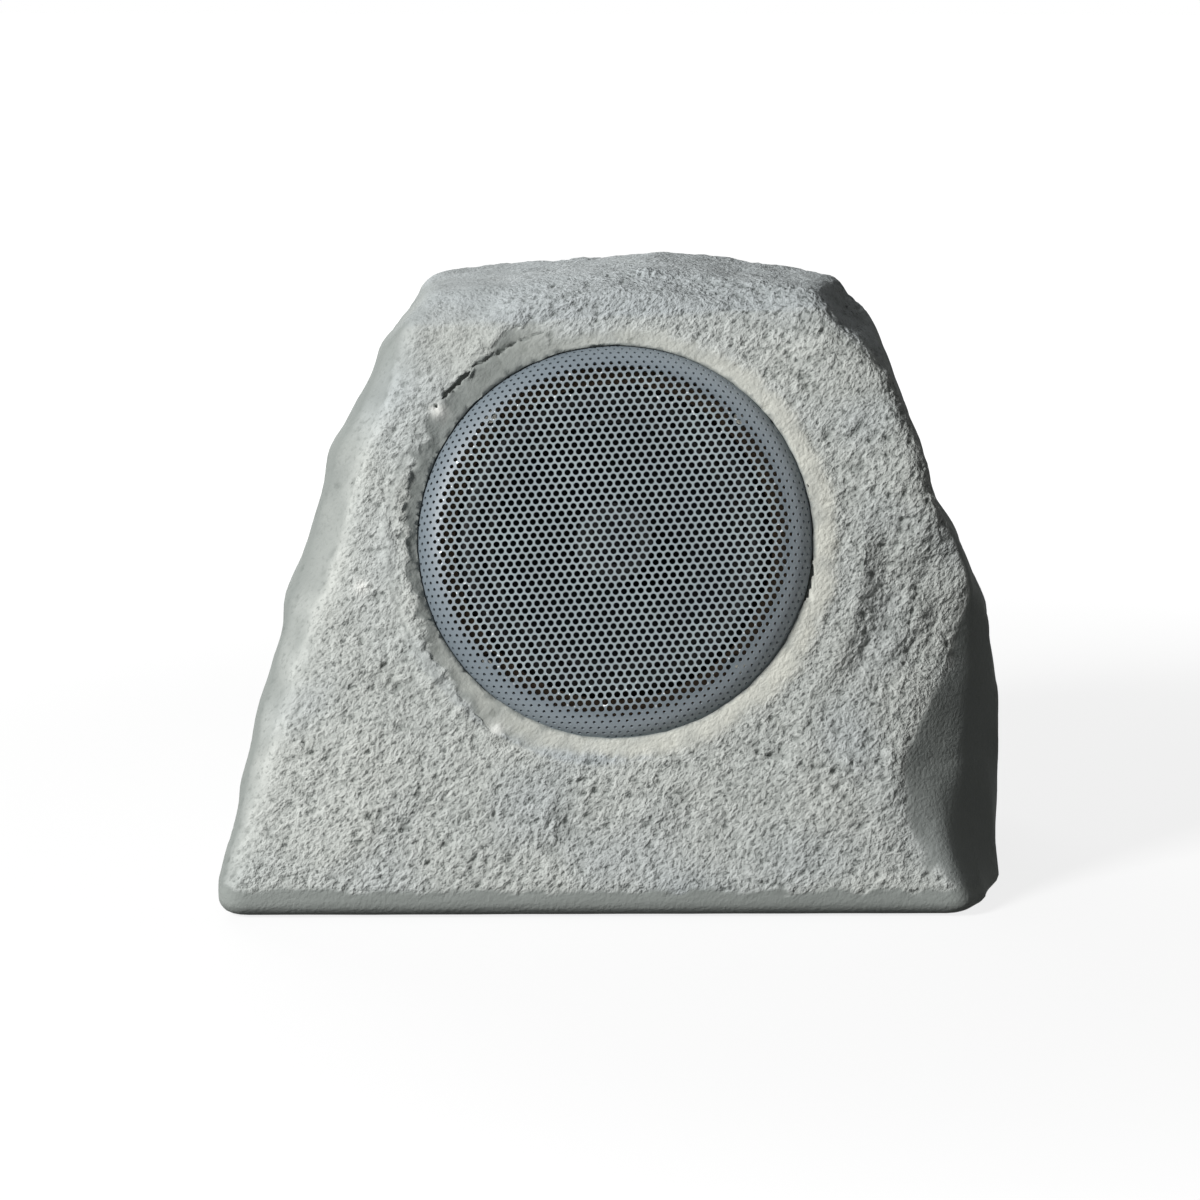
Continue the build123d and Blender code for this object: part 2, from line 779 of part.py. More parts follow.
with BuildPart() as gland_nut:
    with BuildSketch(spot.offset(nut_bottom)):
        RegularPolygon(gland_hex_r, HEXAGON)
    extrude(amount=nut_top - nut_bottom)
    chamfer(gland_nut.faces().sort_by(Axis.Y)[-1].edges(), gland_mouth_thick)
    with BuildSketch(spot.offset(nut_bottom)):
        Circle(gland_thread_r + thread_gap)
    extrude(amount=neck_top + thread_gap - nut_bottom, mode=Mode.SUBTRACT)
    with BuildSketch(spot.offset(nut_bottom)):
        Circle(seal_r + thread_gap)
    extrude(amount=seal_top + thread_gap - nut_bottom, mode=Mode.SUBTRACT)
    with BuildSketch(spot.offset(nut_bottom)):
        Circle(gland_mouth_r)
    extrude(amount=nut_top - nut_bottom, mode=Mode.SUBTRACT)
gland_nut.part.label = "gland_nut"
export_step(gland_nut.part, "parts/gland_nut.step")

with BuildPart() as gland_locknut:
    with BuildSketch(spot.offset(-pad_thick)):
        RegularPolygon(gland_hex_r, HEXAGON)
        Circle(gland_thread_r + thread_gap, mode=Mode.SUBTRACT)
    extrude(amount=-locknut_thick)
gland_locknut.part.label = "gland_locknut"
export_step(gland_locknut.part, "parts/gland_locknut.step")
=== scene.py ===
from math import atan2, cos, pi, radians, sin, tan

import bmesh
import bpy
import numpy as np
from mathutils import Matrix, Vector


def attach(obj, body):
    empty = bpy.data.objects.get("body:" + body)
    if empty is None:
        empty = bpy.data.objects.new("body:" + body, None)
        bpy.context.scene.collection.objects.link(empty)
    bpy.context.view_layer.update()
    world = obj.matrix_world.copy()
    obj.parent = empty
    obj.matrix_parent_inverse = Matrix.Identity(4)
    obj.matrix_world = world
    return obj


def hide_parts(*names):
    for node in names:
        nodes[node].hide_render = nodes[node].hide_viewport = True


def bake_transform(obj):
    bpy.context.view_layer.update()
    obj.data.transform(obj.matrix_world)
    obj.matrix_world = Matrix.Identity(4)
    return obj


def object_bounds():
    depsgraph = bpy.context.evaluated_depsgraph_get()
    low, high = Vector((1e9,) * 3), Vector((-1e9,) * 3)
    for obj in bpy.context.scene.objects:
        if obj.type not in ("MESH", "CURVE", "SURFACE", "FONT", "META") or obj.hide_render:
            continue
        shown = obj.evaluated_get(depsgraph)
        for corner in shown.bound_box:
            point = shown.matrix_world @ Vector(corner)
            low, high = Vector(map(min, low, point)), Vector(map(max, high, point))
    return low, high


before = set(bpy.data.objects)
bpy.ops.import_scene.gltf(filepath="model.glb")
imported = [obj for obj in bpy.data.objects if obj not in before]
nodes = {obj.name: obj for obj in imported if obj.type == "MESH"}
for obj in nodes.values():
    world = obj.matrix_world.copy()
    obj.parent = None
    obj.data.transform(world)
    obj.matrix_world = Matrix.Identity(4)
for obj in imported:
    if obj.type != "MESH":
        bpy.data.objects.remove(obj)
cad_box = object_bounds()

# Rock shell. One moulding of stone-filled resin, cast in a mould taken from a hewn stone.
# The front carries streaked stucco, the flanks and the foot came out smooth, and the edge of the recess
# is wiped by hand, so it stays bare and paler; it is painted palest on the right and below, as painted
# light. A ragged ledge overhangs it on the left.
MM = 0.001
DRIVER_X = -2.0
DRIVER_LEAN = radians(18)
FRONT_COMPASS = radians(2.5)
BAFFLE_SPOT = np.array([DRIVER_X, -89.333, 154.910])
DRIVER_RIGHT = np.array([1, 0, 0])
DRIVER_OUT = np.array([0, -cos(DRIVER_LEAN), sin(DRIVER_LEAN)])
DRIVER_UP = np.array([0, sin(DRIVER_LEAN), cos(DRIVER_LEAN)])
RECESS_R = 87.4
RECESS_REACH = 25
WALL = 6.0
SPLIT_GAP = 0.01
ROCK_VOXEL = 2.0
ROCK_FACES = 195000


def soft_step(low, high, value):
    """0 at low, 1 at high, smooth between them."""
    share = np.clip((value - low) / (high - low), 0, 1)
    return share * share * (3 - 2 * share)


def lattice_noise(points, seed):
    """Smooth gradient noise, about -1 to 1, with lumps about one unit apart."""
    base = np.floor(points).astype(np.int64)
    within = points - base
    ease = within**3 * (within * (within * 6 - 15) + 10)
    total = np.zeros(len(points))
    for corner in np.ndindex(2, 2, 2):
        mixed = (base + corner) @ np.array([374761393, 668265263, 1274126177]) + seed * 1442695041
        mixed = ((mixed & 0xFFFFFFFF) ^ ((mixed & 0xFFFFFFFF) >> 13)) * 1274126177 & 0xFFFFFFFF
        mixed ^= mixed >> 16
        slope = np.stack([mixed & 1023, mixed >> 10 & 1023, mixed >> 20 & 1023], axis=1) / 511.5 - 1
        weight = np.prod(np.where(corner, ease, 1 - ease), axis=1)
        total += weight * ((within - corner) * slope).sum(axis=1)
    return total * 1.5


def mesh_arrays(mesh):
    """Points in millimetres and normals of a mesh."""
    points = np.empty(len(mesh.vertices) * 3)
    normals = np.empty(len(mesh.vertices) * 3)
    mesh.vertices.foreach_get("co", points)
    mesh.vertex_normals.foreach_get("vector", normals)
    return points.reshape(-1, 3) / MM, normals.reshape(-1, 3)


def move_points(mesh, points):
    """Puts a mesh's points at these places, given in millimetres."""
    mesh.vertices.foreach_set("co", (points * MM).ravel())
    mesh.update()


def add_markings(mesh, markings):
    """Stores named values at each point of a mesh, for its material to read."""
    for name, values in markings.items():
        marking = mesh.attributes.new(name, "FLOAT", "POINT")
        marking.data.foreach_set("value", values.astype(np.float32))


def add_piece(name, mesh):
    """New object that holds a mesh."""
    piece = bpy.data.objects.new(name, mesh)
    bpy.context.scene.collection.objects.link(piece)
    return piece


def bake_modifiers(piece):
    """Turns a piece's modifiers into its mesh."""
    graph = bpy.context.evaluated_depsgraph_get()
    shaped = bpy.data.meshes.new_from_object(piece.evaluated_get(graph))
    piece.modifiers.clear()
    piece.data = shaped


def welded_copy(node):
    """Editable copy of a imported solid's mesh, its split edges joined again."""
    welding = bmesh.new()
    welding.from_mesh(nodes[node].data)
    bmesh.ops.remove_doubles(welding, verts=welding.verts, dist=SPLIT_GAP * MM)
    return welding


rock = add_piece("rock_skin", bpy.data.meshes.new("rock_skin"))
solid_rock = welded_copy("rock_shell")
solid_rock.to_mesh(rock.data)
solid_rock.free()
voxels = rock.modifiers.new("voxels", "REMESH")
voxels.mode = "VOXEL"
voxels.voxel_size = ROCK_VOXEL * MM
bake_modifiers(rock)

# The front is cut finer than the rest, because its relief is the finest.
FINE_FACING = 0.5
FINE_FROM_Z = 8
FINE_FROM_R = RECESS_R - 3
points, normals = mesh_arrays(rock.data)
fine = (normals @ DRIVER_OUT > FINE_FACING) & (points[:, 1] < 0) & (points[:, 2] > FINE_FROM_Z)
fine &= np.hypot(points[:, 0] - DRIVER_X, (points - BAFFLE_SPOT) @ DRIVER_UP) > FINE_FROM_R
cutting = bmesh.new()
cutting.from_mesh(rock.data)
fine_edges = [edge for edge in cutting.edges if all(fine[vert.index] for vert in edge.verts)]
bmesh.ops.subdivide_edges(cutting, edges=fine_edges, cuts=1, use_grid_fill=True)
bmesh.ops.triangulate(cutting, faces=[face for face in cutting.faces if len(face.verts) > 4])
cutting.to_mesh(rock.data)
cutting.free()

# Facets hewn deeper on the right: compass, lean, a spot on it, the heights between which it fades in
# and out, how soft its edge is, and whether its stucco is gone.
HEWN_FROM_X = 60
hewn_facets = [
    (15, 17, (95, -110.2, 110), (65, 105, 140, 175), 6.0, 0),
    (40, 9.3, (124, -121.5, 72), (4, 64, 118, 152), 3.0, 1),
    (66, 3, (149, -106, 74), (4, 64, 118, 152), 3.0, 1),
]
points, normals = mesh_arrays(rock.data)
heart = np.array([0, 0, 110])
outside = ((points - heart) * normals).sum(axis=1) > 0
hewn_depth = np.zeros(len(points))
for compass, lean, spot, reach, softness, bared in hewn_facets:
    level = cos(radians(lean))
    away = np.array([sin(radians(compass)) * level, -cos(radians(compass)) * level, sin(radians(lean))])
    proud = (points - np.array(spot)) @ away + np.where(outside, 0, WALL)
    cut = (proud + np.sqrt(proud**2 + softness**2)) / 2
    kept = np.clip((points[:, 2] - reach[0]) / (reach[1] - reach[0]), 0, 1)
    kept = kept * (points[:, 0] > HEWN_FROM_X) * (1 - soft_step(reach[2], reach[3], points[:, 2]))
    points = points - away * (cut * kept)[:, None]
    hewn_depth += cut * kept * bared

# Bumps and dents of the outline: spot, reach each way, and height along the normal. The corner of the
# foot is pushed straight to the right instead.
local_forms = [
    ((-107, -40, 224), (24, 60, 13), -2.6), ((-126, -40, 192), (24, 60, 13), 3.2),
    ((-138, -50, 152), (22, 60, 14), -3.8), ((-146, -60, 129), (18, 60, 8), 2.0),
    ((107, -40, 255), (14, 60, 10), -4.0), ((141, -40, 171), (16, 60, 11), -4.2),
    ((164, -48, 62), (25, 30, 48), 7.0), ((-95, -110, 60), (45, 60, 35), 2.0),
]
foot_corner = ((150, -141, 2), (22, 20, 45), 8.0)
for spot, reach, form in local_forms:
    share = np.exp(-((((points - np.array(spot)) / np.array(reach)) ** 2).sum(axis=1)))
    points = points + normals * (form * share * outside)[:, None]
spot, reach, form = foot_corner
share = np.exp(-((((points - np.array(spot)) / np.array(reach)) ** 2).sum(axis=1)))
points[:, 0] += form * share * outside

# The foot's edge is rounded less than the solid's.
FOOT_ROUND = 12.0
FOOT_EDGE = 7.5
FOOT_FLAT = 0.12


def edge_inset(rounding, height):
    """How far a rounded edge stands back at a height above the ground."""
    return rounding - np.sqrt(np.clip(rounding**2 - np.clip(rounding - height, 0, None) ** 2, 0, None))


flat_way = np.hypot(normals[:, 0], normals[:, 1])
turned_out = (points[:, :2] * normals[:, :2]).sum(axis=1) > 0
foot = outside & turned_out & (points[:, 2] < FOOT_ROUND) & (flat_way > FOOT_FLAT)
under = np.clip(points[:, 2], 0, None)
spread = foot * (edge_inset(FOOT_ROUND, under) - edge_inset(FOOT_EDGE, under))
spread = spread / np.maximum(flat_way, FOOT_FLAT)
points = points + np.stack([normals[:, 0] * spread, normals[:, 1] * spread, 0 * spread], axis=1)
move_points(rock.data, points)

# Places on the rock: round the driver axis, and which of them are its outer skin.
POCKET_TOP = 20
UNDERSIDE = -0.97
RECESS_EDGE = 1.5
points, normals = mesh_arrays(rock.data)
across = points[:, 0] - DRIVER_X
upward = (points - BAFFLE_SPOT) @ DRIVER_UP
outward = (points - BAFFLE_SPOT) @ DRIVER_OUT
radius = np.hypot(across, upward)
bearing = np.degrees(np.arctan2(upward, across)) % 360
in_front = points[:, 1] < 0
in_recess = (radius < RECESS_R + RECESS_EDGE) & (np.abs(outward) < RECESS_REACH) & in_front
in_pocket = (points[:, 2] < POCKET_TOP) & ~outside
skin = outside & ~in_recess & ~in_pocket & (normals[:, 2] > UNDERSIDE)

# Edge of the recess: a wiped fillet on the right, and a ragged ledge from the top to the lower left.
# The ledge's distance from the driver axis goes by bearing, 0 to the right and 90 upwards.
FACE_HEIGHT = 10.0
LIP_LEVEL = 9.5
LIP_TILT = 1.3
LIP_ZONE = 122
LIP_FADE = (108, 121)
RAGGED_FROM, RAGGED_TO = (96, 125), (225, 268)
FILLET_FROM = 0.5
FILLET_WIDTH, FILLET_SWING, FILLET_LEAST = 11.5, 5, 3
WAVER_WIDTH, WAVER_SIZE = 3.6, 16
NICK_WIDTH, NICK_SIZE = 2.2, 5
LEDGE_DROP, LEDGE_EDGE, LEDGE_LEAST = 1.5, 0.8, 2.2
TOOTH_WIDTH, TOOTH_SIZE = 2.6, 8
CRUMB_WIDTH, CRUMB_SIZE = 1.8, 3.6
CREST_HEIGHT, CREST_BACK, CREST_WIDTH = 1.3, 3.5, 4
OVERHANG, OVERHANG_BACK, OVERHANG_WIDTH = 1.1, 1, 1.8
ledge_line = {
    95: 103, 108: 104, 116: 105, 124: 100, 132: 98, 140: 98.5, 148: 99, 152: 94.5, 162: 95,
    170: 93, 176: 94, 185: 92, 195: 92, 210: 93.5, 225: 96, 240: 99, 255: 102, 270: 103,
}
face_plane = FACE_HEIGHT - across * tan(FRONT_COMPASS)
ragged = soft_step(*RAGGED_FROM, bearing) * (1 - soft_step(*RAGGED_TO, bearing))
lip_level = LIP_LEVEL - LIP_TILT * np.cos(np.radians(bearing))
fillet_width = FILLET_WIDTH + FILLET_SWING * np.cos(np.radians(bearing + 15))
fillet_width = fillet_width + WAVER_WIDTH * lattice_noise(points / WAVER_SIZE, 11)
fillet_width = fillet_width + NICK_WIDTH * lattice_noise(points / NICK_SIZE, 19)
fillet_width = np.maximum(fillet_width, FILLET_LEAST)
fillet = soft_step(RECESS_R + FILLET_FROM, RECESS_R + fillet_width, radius)
ledge_edge = np.interp(bearing, list(ledge_line), list(ledge_line.values()))
teeth = TOOTH_WIDTH * lattice_noise(points / TOOTH_SIZE, 12)
ledge_edge += teeth + CRUMB_WIDTH * lattice_noise(points / CRUMB_SIZE, 13)
ledge_edge = np.maximum(ledge_edge, RECESS_R + LEDGE_LEAST)
broken = 0.3 + 0.7 * soft_step(-0.25, 0.2, lattice_noise(points / 11, 17))
below_ledge = 1 - broken * LEDGE_DROP / np.maximum(face_plane - lip_level + 1, 1.5)
ledge = below_ledge * soft_step(RECESS_R, ledge_edge, radius)
ledge += (1 - below_ledge) * soft_step(ledge_edge - LEDGE_EDGE, ledge_edge + LEDGE_EDGE, radius)
rise = fillet + (ledge - fillet) * ragged
near_lip = skin & in_front & (radius < LIP_ZONE)
lip_weight = near_lip * (1 - soft_step(*LIP_FADE, radius))
knobs = 0.5 + lattice_noise(points / 7, 14) + 0.6 * lattice_noise(points / 3.5, 18)
on_crest = np.exp(-(((radius - ledge_edge - CREST_BACK) / CREST_WIDTH) ** 2))
crest = CREST_HEIGHT * ragged * on_crest * knobs
lip_target = lip_level + (face_plane - lip_level) * rise + crest
lift = lip_weight * (lip_target - outward)
on_edge = np.exp(-(((radius - ledge_edge - OVERHANG_BACK) / OVERHANG_WIDTH) ** 2))
overhang = -OVERHANG * ragged * broken * near_lip * on_edge
sideways = across[:, None] * DRIVER_RIGHT + upward[:, None] * DRIVER_UP
sideways = sideways / np.maximum(radius, 1)[:, None]
points = points + lift[:, None] * DRIVER_OUT + overhang[:, None] * sideways

# The lip leans in to the grille's shoulder, an arc, so that only a thin line is left open between them.
LIP_HEIGHT = 6.8
LIP_GAP = 0.9
LIP_WAVER, LIP_WAVER_SIZE = 0.5, 6
LIP_START, LIP_SPAN, LIP_RUN = 1.3, 8.3, 9.6
SHOULDER_FROM = 71.0
SHOULDER_R = 17.136
SHOULDER_LEVEL = 0.864
lip_edge = SHOULDER_FROM + np.sqrt(SHOULDER_R**2 - (lip_level - SHOULDER_LEVEL) ** 2)
lip_edge += LIP_GAP + LIP_WAVER * lattice_noise(points / LIP_WAVER_SIZE, 22)
corner = in_front & (outward > LIP_HEIGHT - 2.4) & (outward < RECESS_REACH)
corner &= np.abs(radius - RECESS_R - 0.5) < 1
share = np.clip((radius - RECESS_R - LIP_START) / LIP_SPAN, 0, 1)
drawn_in = (lip_edge + 0.35) * (1 - share) + (RECESS_R + LIP_RUN) * share - radius
drawn_in = drawn_in * near_lip * (share < 1)
drawn_in = np.where(corner, lip_edge + 0.1 * (radius - RECESS_R) - radius, drawn_in)
points = points + drawn_in[:, None] * sideways + (corner * (lip_level - outward))[:, None] * DRIVER_OUT

# How much stucco each place has: little on the lip, the left strip, the hewn facets and the foot band.
facing = normals @ DRIVER_OUT
smooth_lip = 0.3 + 0.7 * soft_step(0.35, 0.9, rise) * soft_step(90, 97, radius)
rough_lip = 0.08 + 0.82 * soft_step(ledge_edge - 1.5, ledge_edge + 0.5, radius)
on_rock = smooth_lip + (rough_lip - smooth_lip) * ragged
on_rock = np.clip(np.where(in_front & (radius < LIP_ZONE), on_rock, 1), 0, 1)
above_band = soft_step(10.5, 13.5, points[:, 2] + 3 * lattice_noise(points / 7, 5))
upper_right = soft_step(140, 175, points[:, 2]) * (across > 0)
coarse = soft_step(0.55 - 0.5 * upper_right, 0.88 - 0.45 * upper_right, facing)
coarse = np.maximum(coarse, 0.8 * soft_step(0.5, 0.85, normals[:, 2]))
coarse = np.maximum(coarse, 0.8 * soft_step(0.5, 0.85, normals[:, 1]))
strip_side = -across + 0.28 * upward + 8 * lattice_noise(points / 15, 20)
left_strip = soft_step(103, 139, strip_side) * in_front
hewn = soft_step(2.2, 4.5, hewn_depth + 1.2 * lattice_noise(points / 9, 21))
upper_left = soft_step(45, 80, upward) * soft_step(25, 60, -across)
coarse = (0.15 + 0.85 * coarse) * (1 - 0.8 * left_strip) * (1 - 0.85 * hewn) * (1 - 0.4 * upper_left)

# Relief of the stone, as heights along the normal and grain sizes: swells, lumps, streaked stucco, pits,
# short dashes and a few chips.
STREAK_TURN = radians(48)
STREAK_STRETCH = 1.4
SWELL_HEIGHT, SWELL_SIZE = 1.5, 70
WAVE_HEIGHT, WAVE_SIZE = 1.4, 34
LUMP_HEIGHT, LUMP_SIZE = 1.0, 13
STUCCO_HEIGHT, STUCCO_SIZE = 0.5, 4.4
GRIT_HEIGHT, GRIT_SIZE = 0.85, 2.4
PIT_DEPTH, PIT_SIZE, PIT_FLOOR = 3.4, 2.7, 0.35
DASH_DEPTH, DASH_SIZE, DASH_FLOOR = 3.5, (7, 2.3, 4), 0.6
CHIP_HEIGHT = 0.8
chip_spots = [(-77.7, 56.5, 3.2), (-109.5, -22, 3.0), (-50, -84, 2.6)]
along = cos(STREAK_TURN) * across + sin(STREAK_TURN) * upward
beside = -sin(STREAK_TURN) * across + cos(STREAK_TURN) * upward
streaked = np.stack([along / STREAK_STRETCH, beside, outward], axis=1)
swell = SWELL_HEIGHT * lattice_noise(points / SWELL_SIZE, 1)
swell = swell + WAVE_HEIGHT * lattice_noise(points / WAVE_SIZE, 2)
lumps = LUMP_HEIGHT * lattice_noise(streaked / LUMP_SIZE, 3) * (1 - 0.8 * hewn)
stucco = STUCCO_HEIGHT * lattice_noise(streaked / STUCCO_SIZE, 4)
stucco = stucco + GRIT_HEIGHT * lattice_noise(streaked / GRIT_SIZE, 6)
patchy = 0.7 + 0.3 * np.clip(1.8 * lattice_noise(points / 26, 7), -1, 1)
pits = -PIT_DEPTH * np.clip(lattice_noise(streaked / PIT_SIZE, 8) - 0.3, 0, 1)
dashes = np.stack([along, beside, outward], axis=1) / np.array(DASH_SIZE)
dashes = -DASH_DEPTH * np.clip(lattice_noise(dashes, 9) - 0.4, 0, 1)
dashes = dashes * soft_step(-0.1, 0.3, lattice_noise(points / 22, 10))
pitted = np.maximum(coarse, PIT_FLOOR * (1 - hewn))
dashed = np.maximum(coarse, DASH_FLOOR * (1 - hewn))
fine_relief = patchy * (coarse * stucco + pitted * pits + dashed * dashes)
settled = np.where(in_front, soft_step(100, 126, radius), 1)
chip = np.zeros(len(points))
for right, up, reach in chip_spots:
    near = np.exp(-((across - right) ** 2 + (upward - up) ** 2) / reach**2)
    chip = np.maximum(chip, near * (facing > 0.3) * in_front)
height = settled * (swell + lumps) * soft_step(8, 45, points[:, 2]) * skin
height += on_rock * fine_relief * above_band * skin
height += CHIP_HEIGHT * chip * skin * (0.5 + lattice_noise(points / 2, 15))
points = points + normals * height[:, None]
move_points(rock.data, points)

# What the stone's colour needs to know at each point. The lip is pale, and painted palest on the right
# and below, as painted light where its fillet turns to the key lamp.
pale_and_lit_lip = near_lip * (1 - soft_step(0.35, 0.95, rise))
pale_and_lit_lip = pale_and_lit_lip * (0.42 + 0.45 * np.cos(np.radians(bearing + 20)))
pale_and_lit_lip = pale_and_lit_lip * np.clip(0.9 + 0.6 * lattice_noise(points / 9, 23), 0.3, 1)
# Random cool patches, plus a painted cool skylight: bluer and darker on upward faces and high on the
# front.
cool = soft_step(0.45, 0.9, normals[:, 2]) + 0.6 * soft_step(70, 110, upward)
cool = np.clip(cool + lattice_noise(points / 40, 16), 0, 1)
add_markings(rock.data, {
    "relief": fine_relief * above_band * skin, "lip": pale_and_lit_lip * skin, "band": (1 - above_band) * skin,
    "coarse": coarse * above_band * on_rock * skin, "cool": cool * skin, "chip": chip * skin,
})
thinning = rock.modifiers.new("thinning", "DECIMATE")
rock.data.calc_loop_triangles()
thinning.ratio = ROCK_FACES / len(rock.data.loop_triangles)
bake_modifiers(rock)
low, high = [np.array(corner) / MM for corner in cad_box]
move_points(rock.data, np.clip(mesh_arrays(rock.data)[0], low, high))
rock.data.shade_smooth()
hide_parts("rock_shell")
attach(rock, "speaker")


def linear(colour):
    """Linear colour of an sRGB hex value."""
    parts = [int(colour[place:place + 2], 16) / 255 for place in (1, 3, 5)]
    return [part / 12.92 if part <= 0.04045 else ((part + 0.055) / 1.055) ** 2.4 for part in parts] + [1]


def add_node(material, kind, inputs, **settings):
    """Adds a shader node with its settings; an input takes a value or another node's output."""
    made = material.node_tree.nodes.new(kind)
    for name, value in settings.items():
        setattr(made, name, value)
    for name, value in inputs.items():
        if isinstance(value, bpy.types.NodeSocket):
            material.node_tree.links.new(value, made.inputs[name])
        else:
            made.inputs[name].default_value = value
    return made


def new_material(name):
    """Material with no nodes yet, and the object's own coordinates."""
    material = bpy.data.materials.new(name)
    material.use_nodes = True
    material.node_tree.nodes.clear()
    return material, add_node(material, "ShaderNodeTexCoord", {}).outputs["Object"]


def grains(size):
    """Scale of a noise whose grains are this many millimetres apart."""
    return 1 / (size * MM)


def bands(size):
    """Scale of a wave texture whose bands are this many millimetres apart."""
    return pi / 10 / (size * MM)


def grained_surface(material, patches, tints, grain, strength, depth, looks):
    """Surface in two tints by one pattern, with a grain by another, of a depth in millimetres."""
    tint = add_node(
        material, "ShaderNodeMix",
        {0: patches, 6: linear(tints[0]), 7: linear(tints[1])},
        data_type="RGBA",
    )
    bump = add_node(
        material, "ShaderNodeBump",
        {"Height": grain, "Strength": strength, "Distance": depth * MM},
    )
    shader = add_node(
        material, "ShaderNodeBsdfPrincipled",
        {"Base Color": tint.outputs[2], "Normal": bump.outputs[0], **looks},
    )
    add_node(material, "ShaderNodeOutputMaterial", {"Surface": shader.outputs[0]})


def dress(piece, material):
    """Gives a piece one material."""
    piece.data.materials.clear()
    piece.data.materials.append(material)


# Stone-filled resin with a thin wash: cool grey, with painted shade in pits and hollows, bluer in random
# patches and as a painted cool skylight on top, pale and a little warm on the lip, with painted light
# making it palest on the right and below. The grit is drawn at its real 1 to 2 mm.
stone, place = new_material("moulded_stone_resin")
relief, lip, band, rough_part, cool_patch_and_skylight_part, chipped = [
    add_node(stone, "ShaderNodeAttribute", {}, attribute_name=name).outputs["Fac"]
    for name in ("relief", "lip", "band", "coarse", "cool", "chip")
]
streaks = add_node(
    stone, "ShaderNodeMapping",
    {"Vector": place, "Rotation": (0, -STREAK_TURN, 0), "Scale": (1.35, 1, 1)},
    vector_type="TEXTURE",
).outputs[0]
grit = add_node(
    stone, "ShaderNodeTexNoise",
    {"Vector": streaks, "Scale": grains(1.5), "Detail": 2, "Roughness": 0.5},
)
sand = add_node(stone, "ShaderNodeTexNoise", {"Vector": place, "Scale": grains(0.7), "Detail": 2})
clouds = add_node(stone, "ShaderNodeTexNoise", {"Vector": place, "Scale": grains(45), "Detail": 4})
wash = add_node(
    stone, "ShaderNodeMix",
    {0: clouds.outputs["Fac"], 6: linear("#bbc0bd"), 7: linear("#d0d2cc")},
    data_type="RGBA",
)
# The bluer #afb7bd: random patches and painted cool skylight.
cool_patch_and_skylight_share = add_node(stone, "ShaderNodeMath", {0: cool_patch_and_skylight_part, 1: 0.55}, operation="MULTIPLY")
# Smooth skin is coloured darker, #868b88: partly its own tone, partly painted shade that deepens the
# shaded hewn facets on the right.
smooth_tone_and_shade = add_node(
    stone, "ShaderNodeMapRange",
    {"Value": rough_part, "From Min": 0.1, "From Max": 0.6, "To Min": 0.85, "To Max": 0.0},
)
# Painted shade: the colour darkens to #565c58 in the hollows of the relief.
hollow_shade = add_node(
    stone, "ShaderNodeMapRange",
    {"Value": relief, "From Min": -1.0, "From Max": 0.25, "To Min": 0.55, "To Max": 0.0},
)
# Painted shade: the colour darkens to #4a4f4c in the pores of the grit.
pore = add_node(
    stone, "ShaderNodeMapRange",
    {"Value": grit.outputs["Fac"], "From Min": 0.3, "From Max": 0.45, "To Min": 0.75, "To Max": 0.0},
)
pore_shade_share = add_node(stone, "ShaderNodeMath", {0: pore.outputs[0], 1: rough_part}, operation="MULTIPLY")
# The foot band's darker #979c98 is painted shade low on the rock, by the ground.
stone_colours = {
    "#afb7bd": cool_patch_and_skylight_share.outputs[0], "#868b88": smooth_tone_and_shade.outputs[0], "#565c58": hollow_shade.outputs[0],
    "#4a4f4c": pore_shade_share.outputs[0], "#979c98": band, "#e6e6db": lip, "#e6e7e2": chipped,
}
for colour, share in stone_colours.items():
    wash = add_node(
        stone, "ShaderNodeMix",
        {0: share, 6: wash.outputs[2], 7: linear(colour)},
        data_type="RGBA",
    )
sand_bump = add_node(
    stone, "ShaderNodeBump",
    {"Height": sand.outputs["Fac"], "Strength": 0.35, "Distance": 0.3 * MM},
)
grit_depth = add_node(stone, "ShaderNodeMapRange", {"Value": rough_part, "To Min": 0.22, "To Max": 1.0})
grit_bump = add_node(
    stone, "ShaderNodeBump",
    {
        "Height": grit.outputs["Fac"], "Strength": grit_depth.outputs[0], "Distance": 1.4 * MM,
        "Normal": sand_bump.outputs[0],
    },
)
stone_shader = add_node(
    stone, "ShaderNodeBsdfPrincipled",
    {
        "Base Color": wash.outputs[2], "Roughness": 0.9, "Specular IOR Level": 0.25,
        "Normal": grit_bump.outputs[0],
    },
)
add_node(stone, "ShaderNodeOutputMaterial", {"Surface": stone_shader.outputs[0]})
dress(rock, stone)

# Filter. A board of glass laminate on four pillars of the base plate, with four screws, carrying a
# bobbin-less coil of enamelled copper wire, glued down, and a film capacitor.
# Glass laminate under green lacquer: glossy, with the copper's edges as faint darker lines.
laminate, place = new_material("lacquered_glass_laminate")
tracks = add_node(
    laminate, "ShaderNodeTexBrick",
    {
        "Vector": place, "Color1": linear("#2f6b3c"), "Color2": linear("#367445"),
        "Mortar": linear("#1d4428"), "Scale": grains(22), "Mortar Size": 0.03, "Mortar Smooth": 0.2,
    },
)
weave = add_node(laminate, "ShaderNodeTexNoise", {"Vector": place, "Scale": grains(0.8), "Detail": 2})
track_step = add_node(
    laminate, "ShaderNodeBump",
    {"Height": tracks.outputs["Fac"], "Strength": 0.4, "Distance": 0.05 * MM},
)
lacquer_gloss = add_node(
    laminate, "ShaderNodeMapRange",
    {"Value": weave.outputs["Fac"], "To Min": 0.22, "To Max": 0.42},
)
laminate_shader = add_node(
    laminate, "ShaderNodeBsdfPrincipled",
    {
        "Base Color": tracks.outputs["Color"], "Roughness": lacquer_gloss.outputs[0],
        "Normal": track_step.outputs[0],
    },
)
add_node(laminate, "ShaderNodeOutputMaterial", {"Surface": laminate_shader.outputs[0]})
dress(nodes["crossover_board"], laminate)

